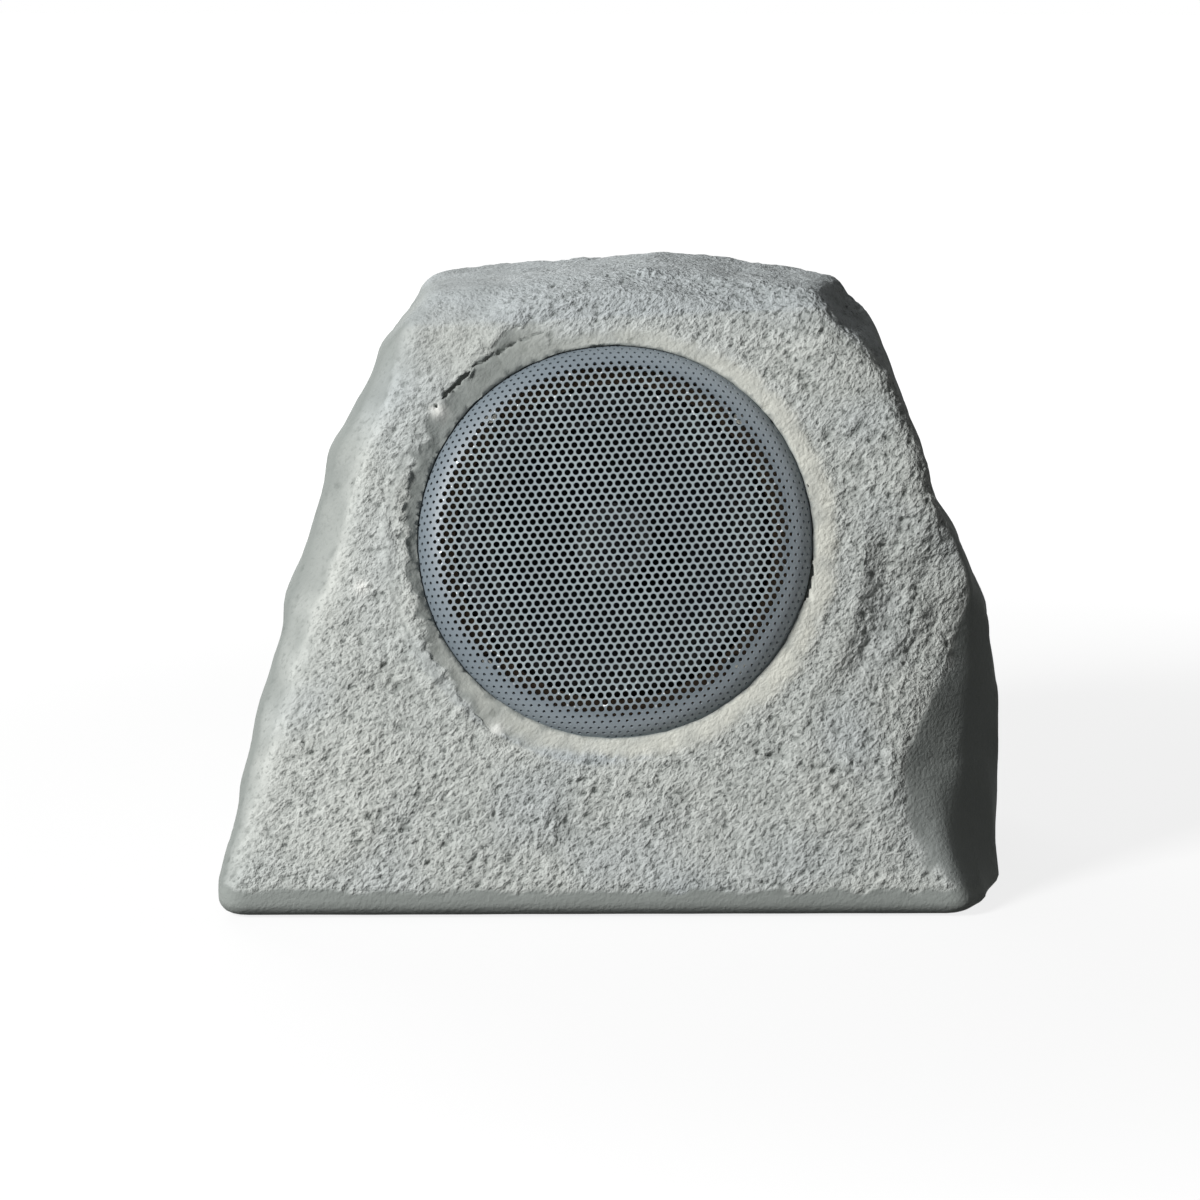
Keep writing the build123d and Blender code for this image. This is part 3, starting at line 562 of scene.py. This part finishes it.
# Polyester film wound on itself and sealed: amber, glossy, with the faint edge of each turn.
film, place = new_material("polyester_film")
turns = add_node(
    film, "ShaderNodeTexWave",
    {"Vector": place, "Scale": bands(1.5), "Distortion": 1.5},
    bands_direction="X",
)
amber = add_node(
    film, "ShaderNodeMix",
    {0: turns.outputs["Fac"], 6: linear("#c08a2c"), 7: linear("#d09a38")},
    data_type="RGBA",
)
film_shader = add_node(
    film, "ShaderNodeBsdfPrincipled",
    {"Base Color": amber.outputs[2], "Roughness": 0.24, "Coat Weight": 0.4},
)
add_node(film, "ShaderNodeOutputMaterial", {"Surface": film_shader.outputs[0]})
dress(nodes["crossover_capacitor"], film)

# Enamelled copper wire, wound in layers: rounded turns side by side, glossy and reddish, painted darker
# between the turns as painted shade. The turns are drawn 1 mm apart, coarser than they are, so that they
# show.
WIRE_PITCH = 1.0
DRIVER_TURN = (pi / 2 - DRIVER_LEAN, 0, 0)
ROUND_AXIS = {"Location": BAFFLE_SPOT * MM, "Rotation": DRIVER_TURN}
GROUND_AXES = {"Location": (0, 0, 0), "Rotation": (0, 0, 0)}
for node, axes in (("crossover_coil", GROUND_AXES), ("voice_coil", ROUND_AXIS)):
    wire, place = new_material("enamelled_copper_wire_" + node)
    wound = add_node(wire, "ShaderNodeMapping", {"Vector": place, **axes}, vector_type="TEXTURE")
    turns = add_node(
        wire, "ShaderNodeTexWave",
        {"Vector": wound.outputs[0], "Scale": bands(WIRE_PITCH)},
        bands_direction="Z",
    )
    # Painted shade: the colour runs from #c8743f on the turns to #6e3417 between them.
    grained_surface(
        wire, turns.outputs["Fac"], ("#6e3417", "#c8743f"),
        turns.outputs["Fac"], strength=0.8, depth=0.3,
        looks={"Metallic": 1.0, "Roughness": 0.3, "Coat Weight": 0.5},
    )
    dress(nodes[node], wire)

# Zinc-plated steel screws: bright metal under a faintly yellow, cloudy passivation.
zinc, place = new_material("zinc_plated_steel")
passivation = add_node(zinc, "ShaderNodeTexNoise", {"Vector": place, "Scale": grains(2.5), "Detail": 3})
zinc_tint = add_node(
    zinc, "ShaderNodeMix",
    {0: passivation.outputs["Fac"], 6: linear("#b9bbbb"), 7: linear("#d6d2c0")},
    data_type="RGBA",
)
zinc_gloss = add_node(
    zinc, "ShaderNodeMapRange",
    {"Value": passivation.outputs["Fac"], "To Min": 0.25, "To Max": 0.5},
)
zinc_shader = add_node(
    zinc, "ShaderNodeBsdfPrincipled",
    {"Base Color": zinc_tint.outputs[2], "Metallic": 1.0, "Roughness": zinc_gloss.outputs[0]},
)
add_node(zinc, "ShaderNodeOutputMaterial", {"Surface": zinc_shader.outputs[0]})
dress(nodes["board_screws"], zinc)

# Black glass-filled nylon, moulded in spark-eroded tools: matt, with a fine even grain that is drawn
# at 0.9 mm so that it shows.
nylon, place = new_material("moulded_black_nylon")
spark = add_node(nylon, "ShaderNodeTexNoise", {"Vector": place, "Scale": grains(0.9), "Detail": 3})
rubbed = add_node(nylon, "ShaderNodeTexNoise", {"Vector": place, "Scale": grains(9), "Detail": 3})
grained_surface(
    nylon, rubbed.outputs["Fac"], ("#0f0f10", "#1c1d1e"),
    spark.outputs["Fac"], strength=0.35, depth=0.15,
    looks={"Roughness": 0.58, "Specular IOR Level": 0.25},
)
dress(nodes["board_pillars"], nylon)

# Cable gland. Nylon body, locknut and domed hexagon nut, with a flat sealing washer on the rock and
# a rubber sleeve in the nut that grips the cable. Screwed through the back of the shell.
for node in ("gland_body", "gland_locknut", "gland_nut"):
    dress(nodes[node], nylon)

# Black sealing rubber, cut from moulded sheet: matt, with a dusty bloom and fine pores.
rubber, place = new_material("sealing_rubber")
bloom = add_node(rubber, "ShaderNodeTexNoise", {"Vector": place, "Scale": grains(6), "Detail": 4})
pores = add_node(rubber, "ShaderNodeTexNoise", {"Vector": place, "Scale": grains(0.7), "Detail": 2})
grained_surface(
    rubber, bloom.outputs["Fac"], ("#1a1a1a", "#333331"),
    pores.outputs["Fac"], strength=0.4, depth=0.15,
    looks={"Roughness": 0.82},
)
for node in ("gland_washer", "gland_seal", "driver_seal", "base_gasket"):
    dress(nodes[node], rubber)

# Driver frame. A basket pressed from sheet steel, sprayed satin black, seated on a rubber seal and
# screwed to the baffle by four zinc-plated screws. A brown laminate strip carries its terminals.
# Stove paint: satin black, with a slight flow in the coat and cloudy scuffs.
satin_black, place = new_material("satin_black_stove_paint")
flow = add_node(satin_black, "ShaderNodeTexNoise", {"Vector": place, "Scale": grains(1.4), "Detail": 2})
scuffs = add_node(satin_black, "ShaderNodeTexNoise", {"Vector": place, "Scale": grains(14), "Detail": 4})
grained_surface(
    satin_black, scuffs.outputs["Fac"], ("#121213", "#232325"),
    flow.outputs["Fac"], strength=0.25, depth=0.1,
    looks={"Roughness": 0.4},
)
dress(nodes["driver_frame"], satin_black)
dress(nodes["driver_screws"], zinc)

# Brown paper laminate, sawn and punched: glossy resin over a faint paper fibre.
strip, place = new_material("paper_laminate")
fibre = add_node(
    strip, "ShaderNodeMapping",
    {"Vector": place, "Scale": (6, 1, 1)},
    vector_type="TEXTURE",
)
fibres = add_node(
    strip, "ShaderNodeTexNoise",
    {"Vector": fibre.outputs[0], "Scale": grains(0.8), "Detail": 3},
)
strip_tint = add_node(
    strip, "ShaderNodeMix",
    {0: fibres.outputs["Fac"], 6: linear("#4f2c16"), 7: linear("#7d4c28")},
    data_type="RGBA",
)
strip_shader = add_node(
    strip, "ShaderNodeBsdfPrincipled",
    {"Base Color": strip_tint.outputs[2], "Roughness": 0.35},
)
add_node(strip, "ShaderNodeOutputMaterial", {"Surface": strip_shader.outputs[0]})
dress(nodes["terminal_strip"], strip)

# Magnet system. A ring of sintered ferrite between a top plate and a back plate of turned steel, all
# glued; a nut at the back holds the post of the treble unit.
# Ground ferrite: dark grey and dull, finely speckled.
ferrite, place = new_material("ground_ferrite")
grinding = add_node(
    ferrite, "ShaderNodeTexNoise",
    {"Vector": place, "Scale": grains(1.2), "Detail": 5, "Roughness": 0.7},
)
grained_surface(
    ferrite, grinding.outputs["Fac"], ("#2a2a2d", "#4a4a4e"),
    grinding.outputs["Fac"], strength=0.4, depth=0.15,
    looks={"Roughness": 0.6},
)
dress(nodes["magnet"], ferrite)

# Grey zinc on turned steel: the lathe's rings round the driver axis, drawn 1.2 mm apart to show.
turned, place = new_material("grey_zinc_turned_steel")
centred = add_node(turned, "ShaderNodeMapping", {"Vector": place, **ROUND_AXIS}, vector_type="TEXTURE")
lathe = add_node(
    turned, "ShaderNodeTexWave",
    {"Vector": centred.outputs[0], "Scale": bands(1.2), "Distortion": 0.6},
    wave_type="RINGS", rings_direction="Z",
)
grained_surface(
    turned, lathe.outputs["Fac"], ("#a2a3a6", "#bcbdbf"),
    lathe.outputs["Fac"], strength=0.2, depth=0.1,
    looks={"Metallic": 1.0, "Roughness": 0.42},
)
for node in ("top_plate", "back_plate", "post_nut"):
    dress(nodes[node], turned)

# Voice coil former. A tube rolled from aluminium foil, that carries the voice coil at its inner end and
# is glued into the spider and the neck of the cone.
# Bare foil: bright metal, with fine rolling lines.
foil, place = new_material("rolled_aluminium_foil")
rolled = add_node(
    foil, "ShaderNodeMapping",
    {"Vector": place, "Scale": (12, 1, 1)},
    vector_type="TEXTURE",
)
rolling = add_node(
    foil, "ShaderNodeTexNoise",
    {"Vector": rolled.outputs[0], "Scale": grains(0.6), "Detail": 3},
)
foil_gloss = add_node(
    foil, "ShaderNodeMapRange",
    {"Value": rolling.outputs["Fac"], "To Min": 0.2, "To Max": 0.45},
)
foil_tint = add_node(
    foil, "ShaderNodeMix",
    {0: rolling.outputs["Fac"], 6: linear("#c3c4c6"), 7: linear("#dddee0")},
    data_type="RGBA",
)
foil_shader = add_node(
    foil, "ShaderNodeBsdfPrincipled",
    {"Base Color": foil_tint.outputs[2], "Metallic": 1.0, "Roughness": foil_gloss.outputs[0]},
)
add_node(foil, "ShaderNodeOutputMaterial", {"Surface": foil_shader.outputs[0]})
dress(nodes["coil_former"], foil)

# Spider. A disc of resin-dipped cotton, pressed into rings of waves, glued to the former inside and to
# the frame outside. It flexes as the cone moves, and is cut into sectors.
SECTORS = 24
HALF_SECTOR = pi / SECTORS
CUT_SNAP = 1e-7
CREASE = radians(40)


def flexing_sectors(node, material):
    """Cuts a ring into sectors, each a piece of its own."""
    for sector in range(SECTORS):
        middle = sector * 2 * HALF_SECTOR
        cut = welded_copy(node)
        for side in (-1, 1):
            edge = middle + side * (HALF_SECTOR + pi / 2)
            away = Vector(cos(edge) * DRIVER_RIGHT + sin(edge) * DRIVER_UP)
            geometry = cut.verts[:] + cut.edges[:] + cut.faces[:]
            bmesh.ops.bisect_plane(
                cut, geom=geometry, dist=CUT_SNAP, plane_co=BAFFLE_SPOT * MM, plane_no=away,
                clear_outer=True,
            )
        open_edges = [edge for edge in cut.edges if edge.is_boundary]
        bmesh.ops.holes_fill(cut, edges=open_edges, sides=0)
        bmesh.ops.recalc_face_normals(cut, faces=cut.faces)
        mesh = bpy.data.meshes.new(f"{node}_{sector + 1:02d}")
        cut.to_mesh(mesh)
        cut.free()
        mesh.attributes.remove(mesh.attributes["custom_normal"])
        piece = add_piece(mesh.name, mesh)
        mesh.shade_smooth()
        mesh.set_sharp_from_angle(angle=CREASE)
        dress(piece, material)
        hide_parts(node)
        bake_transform(piece)


def plain_weave(material, place, pitch, wobble, crossing):
    """Threads this many millimetres apart, flat across the driver axis."""
    flat = add_node(
        material, "ShaderNodeMapping",
        {"Vector": place, **ROUND_AXIS},
        vector_type="TEXTURE",
    )
    warp, weft = [
        add_node(
            material, "ShaderNodeTexWave",
            {"Vector": flat.outputs[0], "Scale": bands(pitch), "Distortion": wobble},
            bands_direction=way,
        ).outputs["Fac"]
        for way in ("X", "Y")
    ]
    return add_node(material, "ShaderNodeMath", {0: warp, 1: weft}, operation=crossing)


# Resin-dipped cotton: an open plain weave, its threads drawn 0.9 mm apart to show, golden and stiff.
cotton, place = new_material("resin_dipped_cotton")
threads = plain_weave(cotton, place, pitch=0.9, wobble=0.4, crossing="MAXIMUM")
grained_surface(
    cotton, threads.outputs[0], ("#7c5a26", "#c79c54"),
    threads.outputs[0], strength=0.6, depth=0.2,
    looks={"Roughness": 0.75},
)
flexing_sectors("spider", cotton)

# Cone. One sheet of black paper pulp with a little mica, felted on a mould and pressed, its neck glued
# to the former and its rim to the surround.
# Paper pulp: matt and nearly black, with short fibres and faint rings from the press.
pulp, place = new_material("black_paper_pulp")
centred = add_node(pulp, "ShaderNodeMapping", {"Vector": place, **ROUND_AXIS}, vector_type="TEXTURE")
press_rings = add_node(
    pulp, "ShaderNodeTexWave",
    {"Vector": centred.outputs[0], "Scale": bands(6)},
    wave_type="RINGS", rings_direction="Z",
)
fibres = add_node(
    pulp, "ShaderNodeTexNoise",
    {"Vector": place, "Scale": grains(1.3), "Detail": 4, "Roughness": 0.7},
)
pulp_tint = add_node(
    pulp, "ShaderNodeMix",
    {0: fibres.outputs["Fac"], 6: linear("#08090b"), 7: linear("#191b1e")},
    data_type="RGBA",
)
ring_bump = add_node(
    pulp, "ShaderNodeBump",
    {"Height": press_rings.outputs["Fac"], "Strength": 0.3, "Distance": 0.3 * MM},
)
fibre_bump = add_node(
    pulp, "ShaderNodeBump",
    {
        "Height": fibres.outputs["Fac"], "Strength": 0.4, "Distance": 0.2 * MM,
        "Normal": ring_bump.outputs[0],
    },
)
pulp_shader = add_node(
    pulp, "ShaderNodeBsdfPrincipled",
    {
        "Base Color": pulp_tint.outputs[2], "Roughness": 0.85, "Specular IOR Level": 0.1,
        "Normal": fibre_bump.outputs[0],
    },
)
add_node(pulp, "ShaderNodeOutputMaterial", {"Surface": pulp_shader.outputs[0]})
dress(nodes["cone"], pulp)

# Butyl rubber: black and a little shiny along the roll, with a cloudy bloom.
butyl, place = new_material("moulded_butyl_rubber")
bloom = add_node(butyl, "ShaderNodeTexNoise", {"Vector": place, "Scale": grains(8), "Detail": 4})
butyl_tint = add_node(
    butyl, "ShaderNodeMix",
    {0: bloom.outputs["Fac"], 6: linear("#070708"), 7: linear("#131314")},
    data_type="RGBA",
)
butyl_gloss = add_node(
    butyl, "ShaderNodeMapRange",
    {"Value": bloom.outputs["Fac"], "To Min": 0.4, "To Max": 0.6},
)
butyl_shader = add_node(
    butyl, "ShaderNodeBsdfPrincipled",
    {
        "Base Color": butyl_tint.outputs[2], "Roughness": butyl_gloss.outputs[0],
        "Specular IOR Level": 0.2,
    },
)
add_node(butyl, "ShaderNodeOutputMaterial", {"Surface": butyl_shader.outputs[0]})
flexing_sectors("surround", butyl)

# Front gasket. A ring stamped from brown fibre board, glued over the surround's edge to clamp it to the
# frame, and left open round the four screw heads.
# Fibre board: dull dark brown, with flecks and a short nap.
board, place = new_material("stamped_fibre_board")
flecks = add_node(
    board, "ShaderNodeTexNoise",
    {"Vector": place, "Scale": grains(1.6), "Detail": 4, "Roughness": 0.7},
)
grained_surface(
    board, flecks.outputs["Fac"], ("#20180f", "#483828"),
    flecks.outputs["Fac"], strength=0.5, depth=0.2,
    looks={"Roughness": 0.9},
)
dress(nodes["front_gasket"], board)

# Treble unit. A post through the magnet carries a nylon cup, in which a ring clamps a dome of coated
# silk in front of the cone.
for node in ("tweeter_post", "tweeter_cup", "tweeter_ring"):
    dress(nodes[node], nylon)

# Coated silk: a fine weave, drawn 0.6 mm apart to show, sealed with a dull dark coat.
silk, place = new_material("coated_silk")
threads = plain_weave(silk, place, pitch=0.6, wobble=0, crossing="MULTIPLY")
grained_surface(
    silk, threads.outputs[0], ("#0f0f11", "#1f2024"),
    threads.outputs[0], strength=0.3, depth=0.1,
    looks={"Roughness": 0.7, "Specular IOR Level": 0.2},
)
dress(nodes["tweeter_dome"], silk)

# Base plate. A flat cover of dark grey polypropylene, moulded with a fine grain, set in the foot of
# the shell on a rubber gasket and held by eight zinc-plated screws.
# Polypropylene: dark grey, a little waxy, with a fine tool grain and patches from handling.
polypropylene, place = new_material("moulded_polypropylene")
tool_grain = add_node(
    polypropylene, "ShaderNodeTexNoise",
    {"Vector": place, "Scale": grains(1.1), "Detail": 3},
)
handling = add_node(
    polypropylene, "ShaderNodeTexNoise",
    {"Vector": place, "Scale": grains(35), "Detail": 5},
)
grained_surface(
    polypropylene, handling.outputs["Fac"], ("#3c3e3d", "#585a58"),
    tool_grain.outputs["Fac"], strength=0.4, depth=0.2,
    looks={"Roughness": 0.62},
)
dress(nodes["base_plate"], polypropylene)
dress(nodes["base_screws"], zinc)

# Grille. One disc of perforated steel sheet, 1 mm thick, pressed to a flat crown with a rolled
# shoulder and an upright skirt that slips into the recess, then sprayed a satin blue-grey.
GRILLE_R = 87.0
GRILLE_HEIGHT = 18.0
GRILLE_SKIRT = 7.0
GRILLE_THICK = 1.0
CROWN_R = 71.0
HOLE_PITCH = 3.62
HOLE_ROW = 2.98
HOLE_R = 1.38
RIM_HOLE_R = 0.7
NARROW_FROM = 4
NARROW_OVER = 4
SHEET_WELD = 0.02
RIM_SLACK = 0.05
ROW_TILT = radians(3.8)
shoulder_drop = GRILLE_HEIGHT - GRILLE_SKIRT
shoulder_run = GRILLE_R - CROWN_R
shoulder_r = (shoulder_run**2 + shoulder_drop**2) / (2 * shoulder_drop)
shoulder_turn = atan2(shoulder_run, shoulder_r - shoulder_drop)
sheet_r = CROWN_R + shoulder_r * shoulder_turn


def on_grille(place):
    """Point of the pressed sheet, in metres, for a place on the flat sheet before pressing."""
    reach = min(place.length, sheet_r)
    if reach <= CROWN_R:
        run, height = reach, GRILLE_HEIGHT
    else:
        turn = (reach - CROWN_R) / shoulder_r
        run = CROWN_R + shoulder_r * sin(turn)
        height = GRILLE_HEIGHT - shoulder_r * (1 - cos(turn))
    side = place.normalized() * run
    return Vector((BAFFLE_SPOT + side.x * DRIVER_RIGHT + side.y * DRIVER_UP + height * DRIVER_OUT) * MM)


# The flat sheet is laid out in six-sided cells, each with a round hole, and pressed point by point.
cell = [
    Vector((HOLE_PITCH / 2, HOLE_ROW / 3)),
    Vector((0, 2 * HOLE_ROW / 3)),
    Vector((-HOLE_PITCH / 2, HOLE_ROW / 3)),
]
cell += [-corner for corner in cell]
rim = [Vector((cos(radians(30 * step)), sin(radians(30 * step)))) for step in range(1, 13)]
tilt = Matrix.Rotation(ROW_TILT, 2)
pressing = bmesh.new()
shared = {}


def sheet_vert(place):
    """Vertex at a place on the sheet, shared by the cells that meet there."""
    key = (round(place.x, 2), round(place.y, 2))
    if key not in shared:
        shared[key] = pressing.verts.new(on_grille(place))
    return shared[key]


rows = int(sheet_r / HOLE_ROW) + 2
columns = int(sheet_r / HOLE_PITCH) + 2
for row in range(-rows, rows + 1):
    for column in range(-columns, columns + 1):
        centre = tilt @ Vector(((column + row % 2 / 2) * HOLE_PITCH, row * HOLE_ROW))
        if centre.length > sheet_r + HOLE_PITCH / 2:
            continue
        corners = [sheet_vert(centre + tilt @ corner) for corner in cell]
        if centre.length > sheet_r - HOLE_PITCH / 2:
            if len(set(corners)) > 2:
                pressing.faces.new(corners)
            continue
        narrowing = min(1, max(0, (centre.length - CROWN_R - NARROW_FROM) / NARROW_OVER))
        hole_r = HOLE_R + (RIM_HOLE_R - HOLE_R) * narrowing
        hole = [pressing.verts.new(on_grille(centre + tilt @ spot * hole_r)) for spot in rim]
        for side in range(6):
            left, right = corners[side], corners[(side + 1) % 6]
            first, between, last = hole[2 * side], hole[2 * side + 1], hole[(2 * side + 2) % 12]
            pressing.faces.new((left, right, between))
            pressing.faces.new((left, between, first))
            pressing.faces.new((right, last, between))
bmesh.ops.remove_doubles(pressing, verts=pressing.verts, dist=SHEET_WELD * MM)
bmesh.ops.dissolve_degenerate(pressing, edges=pressing.edges, dist=SHEET_WELD * MM)
axis_spot = Vector(BAFFLE_SPOT * MM)
axis_out = Vector(DRIVER_OUT)


def rim_distance(vert):
    """How far a vertex is from the driver axis, in millimetres."""
    offset = vert.co - axis_spot
    return (offset - axis_out * offset.dot(axis_out)).length / MM


edge_ring = [
    edge for edge in pressing.edges
    if edge.is_boundary and all(rim_distance(vert) > GRILLE_R - RIM_SLACK for vert in edge.verts)
]
skirt = bmesh.ops.extrude_edge_only(pressing, edges=edge_ring)
for vert in [made for made in skirt["geom"] if isinstance(made, bmesh.types.BMVert)]:
    vert.co -= axis_out * (vert.co - axis_spot).dot(axis_out)
bmesh.ops.recalc_face_normals(pressing, faces=pressing.faces)
grille_mesh = bpy.data.meshes.new("grille_sheet")
pressing.to_mesh(grille_mesh)
pressing.free()
grille = add_piece("grille_sheet", grille_mesh)
sheet = grille.modifiers.new("sheet", "SOLIDIFY")
sheet.thickness = GRILLE_THICK * MM
sheet.offset = -1
bake_modifiers(grille)
grille.data.shade_smooth()
grille.data.set_sharp_from_angle(angle=CREASE)
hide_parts("grille")
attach(grille, "speaker")

# Satin spray paint on steel: a thin blue-grey coat with dust patches on the crown, painted darker on the
# shoulder as painted shade, and worn to bright metal in specks along the bends. The right of the
# shoulder is painted paler, as painted light.
CROWN_DUST_AND_LIGHT_FADE = (68, 78)
SHOULDER_LIGHT_FADE = (75, 83)
SHOULDER_LIGHT_TURN = radians(20)
worn_bends = [(66, 2), (73, 3)]
from_axis = mesh_arrays(grille.data)[0] - BAFFLE_SPOT
grille_radius = np.hypot(from_axis @ DRIVER_RIGHT, from_axis @ DRIVER_UP)
bends = sum(np.exp(-(((grille_radius - middle) / width) ** 2)) for middle, width in worn_bends)
# Painted light on the shoulder: strongest on the right, turned a little below.
shoulder_light_way = np.cos(np.arctan2(from_axis @ DRIVER_UP, from_axis @ DRIVER_RIGHT) + SHOULDER_LIGHT_TURN)
add_markings(grille.data, {
    "crown_dust_and_light": 1 - soft_step(*CROWN_DUST_AND_LIGHT_FADE, grille_radius), "worn": np.clip(bends, 0, 1),
    "painted_shoulder_light": np.clip(0.3 + 0.55 * shoulder_light_way, 0, 1) * soft_step(*SHOULDER_LIGHT_FADE, grille_radius),
})
paint, place = new_material("satin_spray_paint")
crown_dust_and_light, worn, painted_shoulder_light = [
    add_node(paint, "ShaderNodeAttribute", {}, attribute_name=name).outputs["Fac"]
    for name in ("crown_dust_and_light", "worn", "painted_shoulder_light")
]
dust = add_node(paint, "ShaderNodeTexNoise", {"Vector": place, "Scale": grains(22), "Detail": 4})
dust_share = add_node(
    paint, "ShaderNodeMapRange",
    {"Value": dust.outputs["Fac"], "From Min": 0.3, "From Max": 0.7, "To Min": 0.5, "To Max": 1.0},
)
crown_dust_and_light_on = add_node(paint, "ShaderNodeMath", {0: dust_share.outputs[0], 1: crown_dust_and_light}, operation="MULTIPLY")
# Painted shade: the shoulder's coat #717b82 is darker than the crown's #97a3a6, and dust patches vary
# the crown.
coat = add_node(
    paint, "ShaderNodeMix",
    {0: crown_dust_and_light_on.outputs[0], 6: linear("#717b82"), 7: linear("#97a3a6")},
    data_type="RGBA",
)
# Painted light: the shoulder is painted paler, towards #b9c3c9, most on the right.
shoulder_lit = add_node(
    paint, "ShaderNodeMix",
    {0: painted_shoulder_light, 6: coat.outputs[2], 7: linear("#b9c3c9")},
    data_type="RGBA",
)
specks = add_node(paint, "ShaderNodeTexNoise", {"Vector": place, "Scale": grains(1.6), "Detail": 2})
speck = add_node(
    paint, "ShaderNodeMapRange",
    {"Value": specks.outputs["Fac"], "From Min": 0.66, "From Max": 0.7, "To Min": 0.0, "To Max": 1.0},
)
bare = add_node(paint, "ShaderNodeMath", {0: speck.outputs[0], 1: worn}, operation="MULTIPLY")
surface = add_node(
    paint, "ShaderNodeMix",
    {0: bare.outputs[0], 6: shoulder_lit.outputs[2], 7: linear("#dfe3e4")},
    data_type="RGBA",
)
gloss = add_node(paint, "ShaderNodeMapRange", {"Value": bare.outputs[0], "To Min": 0.48, "To Max": 0.22})
mist = add_node(paint, "ShaderNodeTexNoise", {"Vector": place, "Scale": grains(0.6), "Detail": 2})
peel = add_node(
    paint, "ShaderNodeBump",
    {"Height": mist.outputs["Fac"], "Strength": 0.3, "Distance": 0.1 * MM},
)
paint_shader = add_node(
    paint, "ShaderNodeBsdfPrincipled",
    {
        "Base Color": surface.outputs[2], "Metallic": bare.outputs[0], "Roughness": gloss.outputs[0],
        "Normal": peel.outputs[0],
    },
)
add_node(paint, "ShaderNodeOutputMaterial", {"Surface": paint_shader.outputs[0]})
dress(grille, paint)

# Studio. Pale paper on the ground, a soft key from the upper left, a weak fill from the front, and a
# lamp behind so the back isn't lost. The paper and the surroundings show white to the eye and mirrors.
FLOOR_Z = -0.0005
FLOOR_REACH = 9
LAMP_AIM = Vector((0, 0, 0.12))
floor_corners = [
    (x * FLOOR_REACH, y * FLOOR_REACH, FLOOR_Z) for x, y in ((-1, -1), (1, -1), (1, 1), (-1, 1))
]
floor_mesh = bpy.data.meshes.new("floor")
floor_mesh.from_pydata(floor_corners, [], [(0, 1, 2, 3)])
floor = add_piece("floor", floor_mesh)


def seen_share(owner):
    """1 for rays that come to the eye, straight, from a mirror or through a clear piece, else 0."""
    rays = add_node(owner, "ShaderNodeLightPath", {}).outputs
    share = rays["Is Camera Ray"]
    for kind in ("Is Glossy Ray", "Is Transmission Ray"):
        either = add_node(owner, "ShaderNodeMath", {0: share, 1: rays[kind]}, operation="MAXIMUM")
        share = either.outputs[0]
    return share


paper, place = new_material("studio_paper")
bounced = add_node(paper, "ShaderNodeBsdfDiffuse", {"Color": linear("#4c4c4c")})
shown = add_node(paper, "ShaderNodeBsdfDiffuse", {"Color": linear("#727272")})
reach = add_node(paper, "ShaderNodeVectorMath", {0: place}, operation="LENGTH")
white = add_node(
    paper, "ShaderNodeMapRange",
    {"Value": reach.outputs["Value"], "From Min": 0.3, "From Max": 1.1, "To Min": 0.83, "To Max": 1.0},
    interpolation_type="SMOOTHSTEP",
)
glow = add_node(paper, "ShaderNodeEmission", {"Color": linear("#ffffff"), "Strength": white.outputs[0]})
lit = add_node(paper, "ShaderNodeAddShader", {0: shown.outputs[0], 1: glow.outputs[0]})
paper_shader = add_node(
    paper, "ShaderNodeMixShader",
    {0: seen_share(paper), 1: bounced.outputs[0], 2: lit.outputs[0]},
)
add_node(paper, "ShaderNodeOutputMaterial", {"Surface": paper_shader.outputs[0]})
dress(floor, paper)

world = bpy.data.worlds.new("studio")
bpy.context.scene.world = world
world.use_nodes = True
world.node_tree.nodes.clear()
dim = add_node(world, "ShaderNodeBackground", {"Color": linear("#ffffff"), "Strength": 0.06})
bright = add_node(world, "ShaderNodeBackground", {"Color": linear("#ffffff"), "Strength": 1.0})
sky = add_node(
    world, "ShaderNodeMixShader",
    {0: seen_share(world), 1: dim.outputs[0], 2: bright.outputs[0]},
)
add_node(world, "ShaderNodeOutputWorld", {"Surface": sky.outputs[0]})


def add_lamp(name, azimuth, elevation, distance, size, power):
    """Square soft lamp aimed at the rock, its azimuth counted from the front, left as negative."""
    light = bpy.data.lights.new(name, "AREA")
    light.size = size
    light.energy = power * pi * distance**2
    lamp = bpy.data.objects.new(name, light)
    bpy.context.scene.collection.objects.link(lamp)
    turn, rise = radians(azimuth), radians(elevation)
    towards = Vector((sin(turn) * cos(rise), -cos(turn) * cos(rise), sin(rise)))
    lamp.location = LAMP_AIM + towards * distance
    lamp.rotation_euler = towards.to_track_quat("Z", "Y").to_euler()


add_lamp("key_lamp", azimuth=-47, elevation=29, distance=2.5, size=0.6, power=3.75)
add_lamp("fill_lamp", azimuth=-10, elevation=18, distance=2.2, size=1.2, power=0.2)
add_lamp("back_lamp", azimuth=205, elevation=20, distance=2.2, size=1.2, power=1.6)

# Camera, where the photographer stood: a little to the right, 11 degrees above the ground.
CAMERA_AIM = Vector((0, -0.060, 0.130))
CAMERA_SPOT = Vector((0.0582, -1.7278, 0.4544))
lens = bpy.data.cameras.new("camera")
lens.lens = 113.66
lens.sensor_width = 36
lens.shift_x = -0.0175
lens.shift_y = -0.0117
camera = bpy.data.objects.new("camera", lens)
bpy.context.scene.collection.objects.link(camera)
camera.location = CAMERA_SPOT
camera.rotation_euler = (CAMERA_AIM - CAMERA_SPOT).to_track_quat("-Z", "Y").to_euler()
bpy.context.scene.camera = camera
bpy.context.scene.view_settings.view_transform = "Standard"
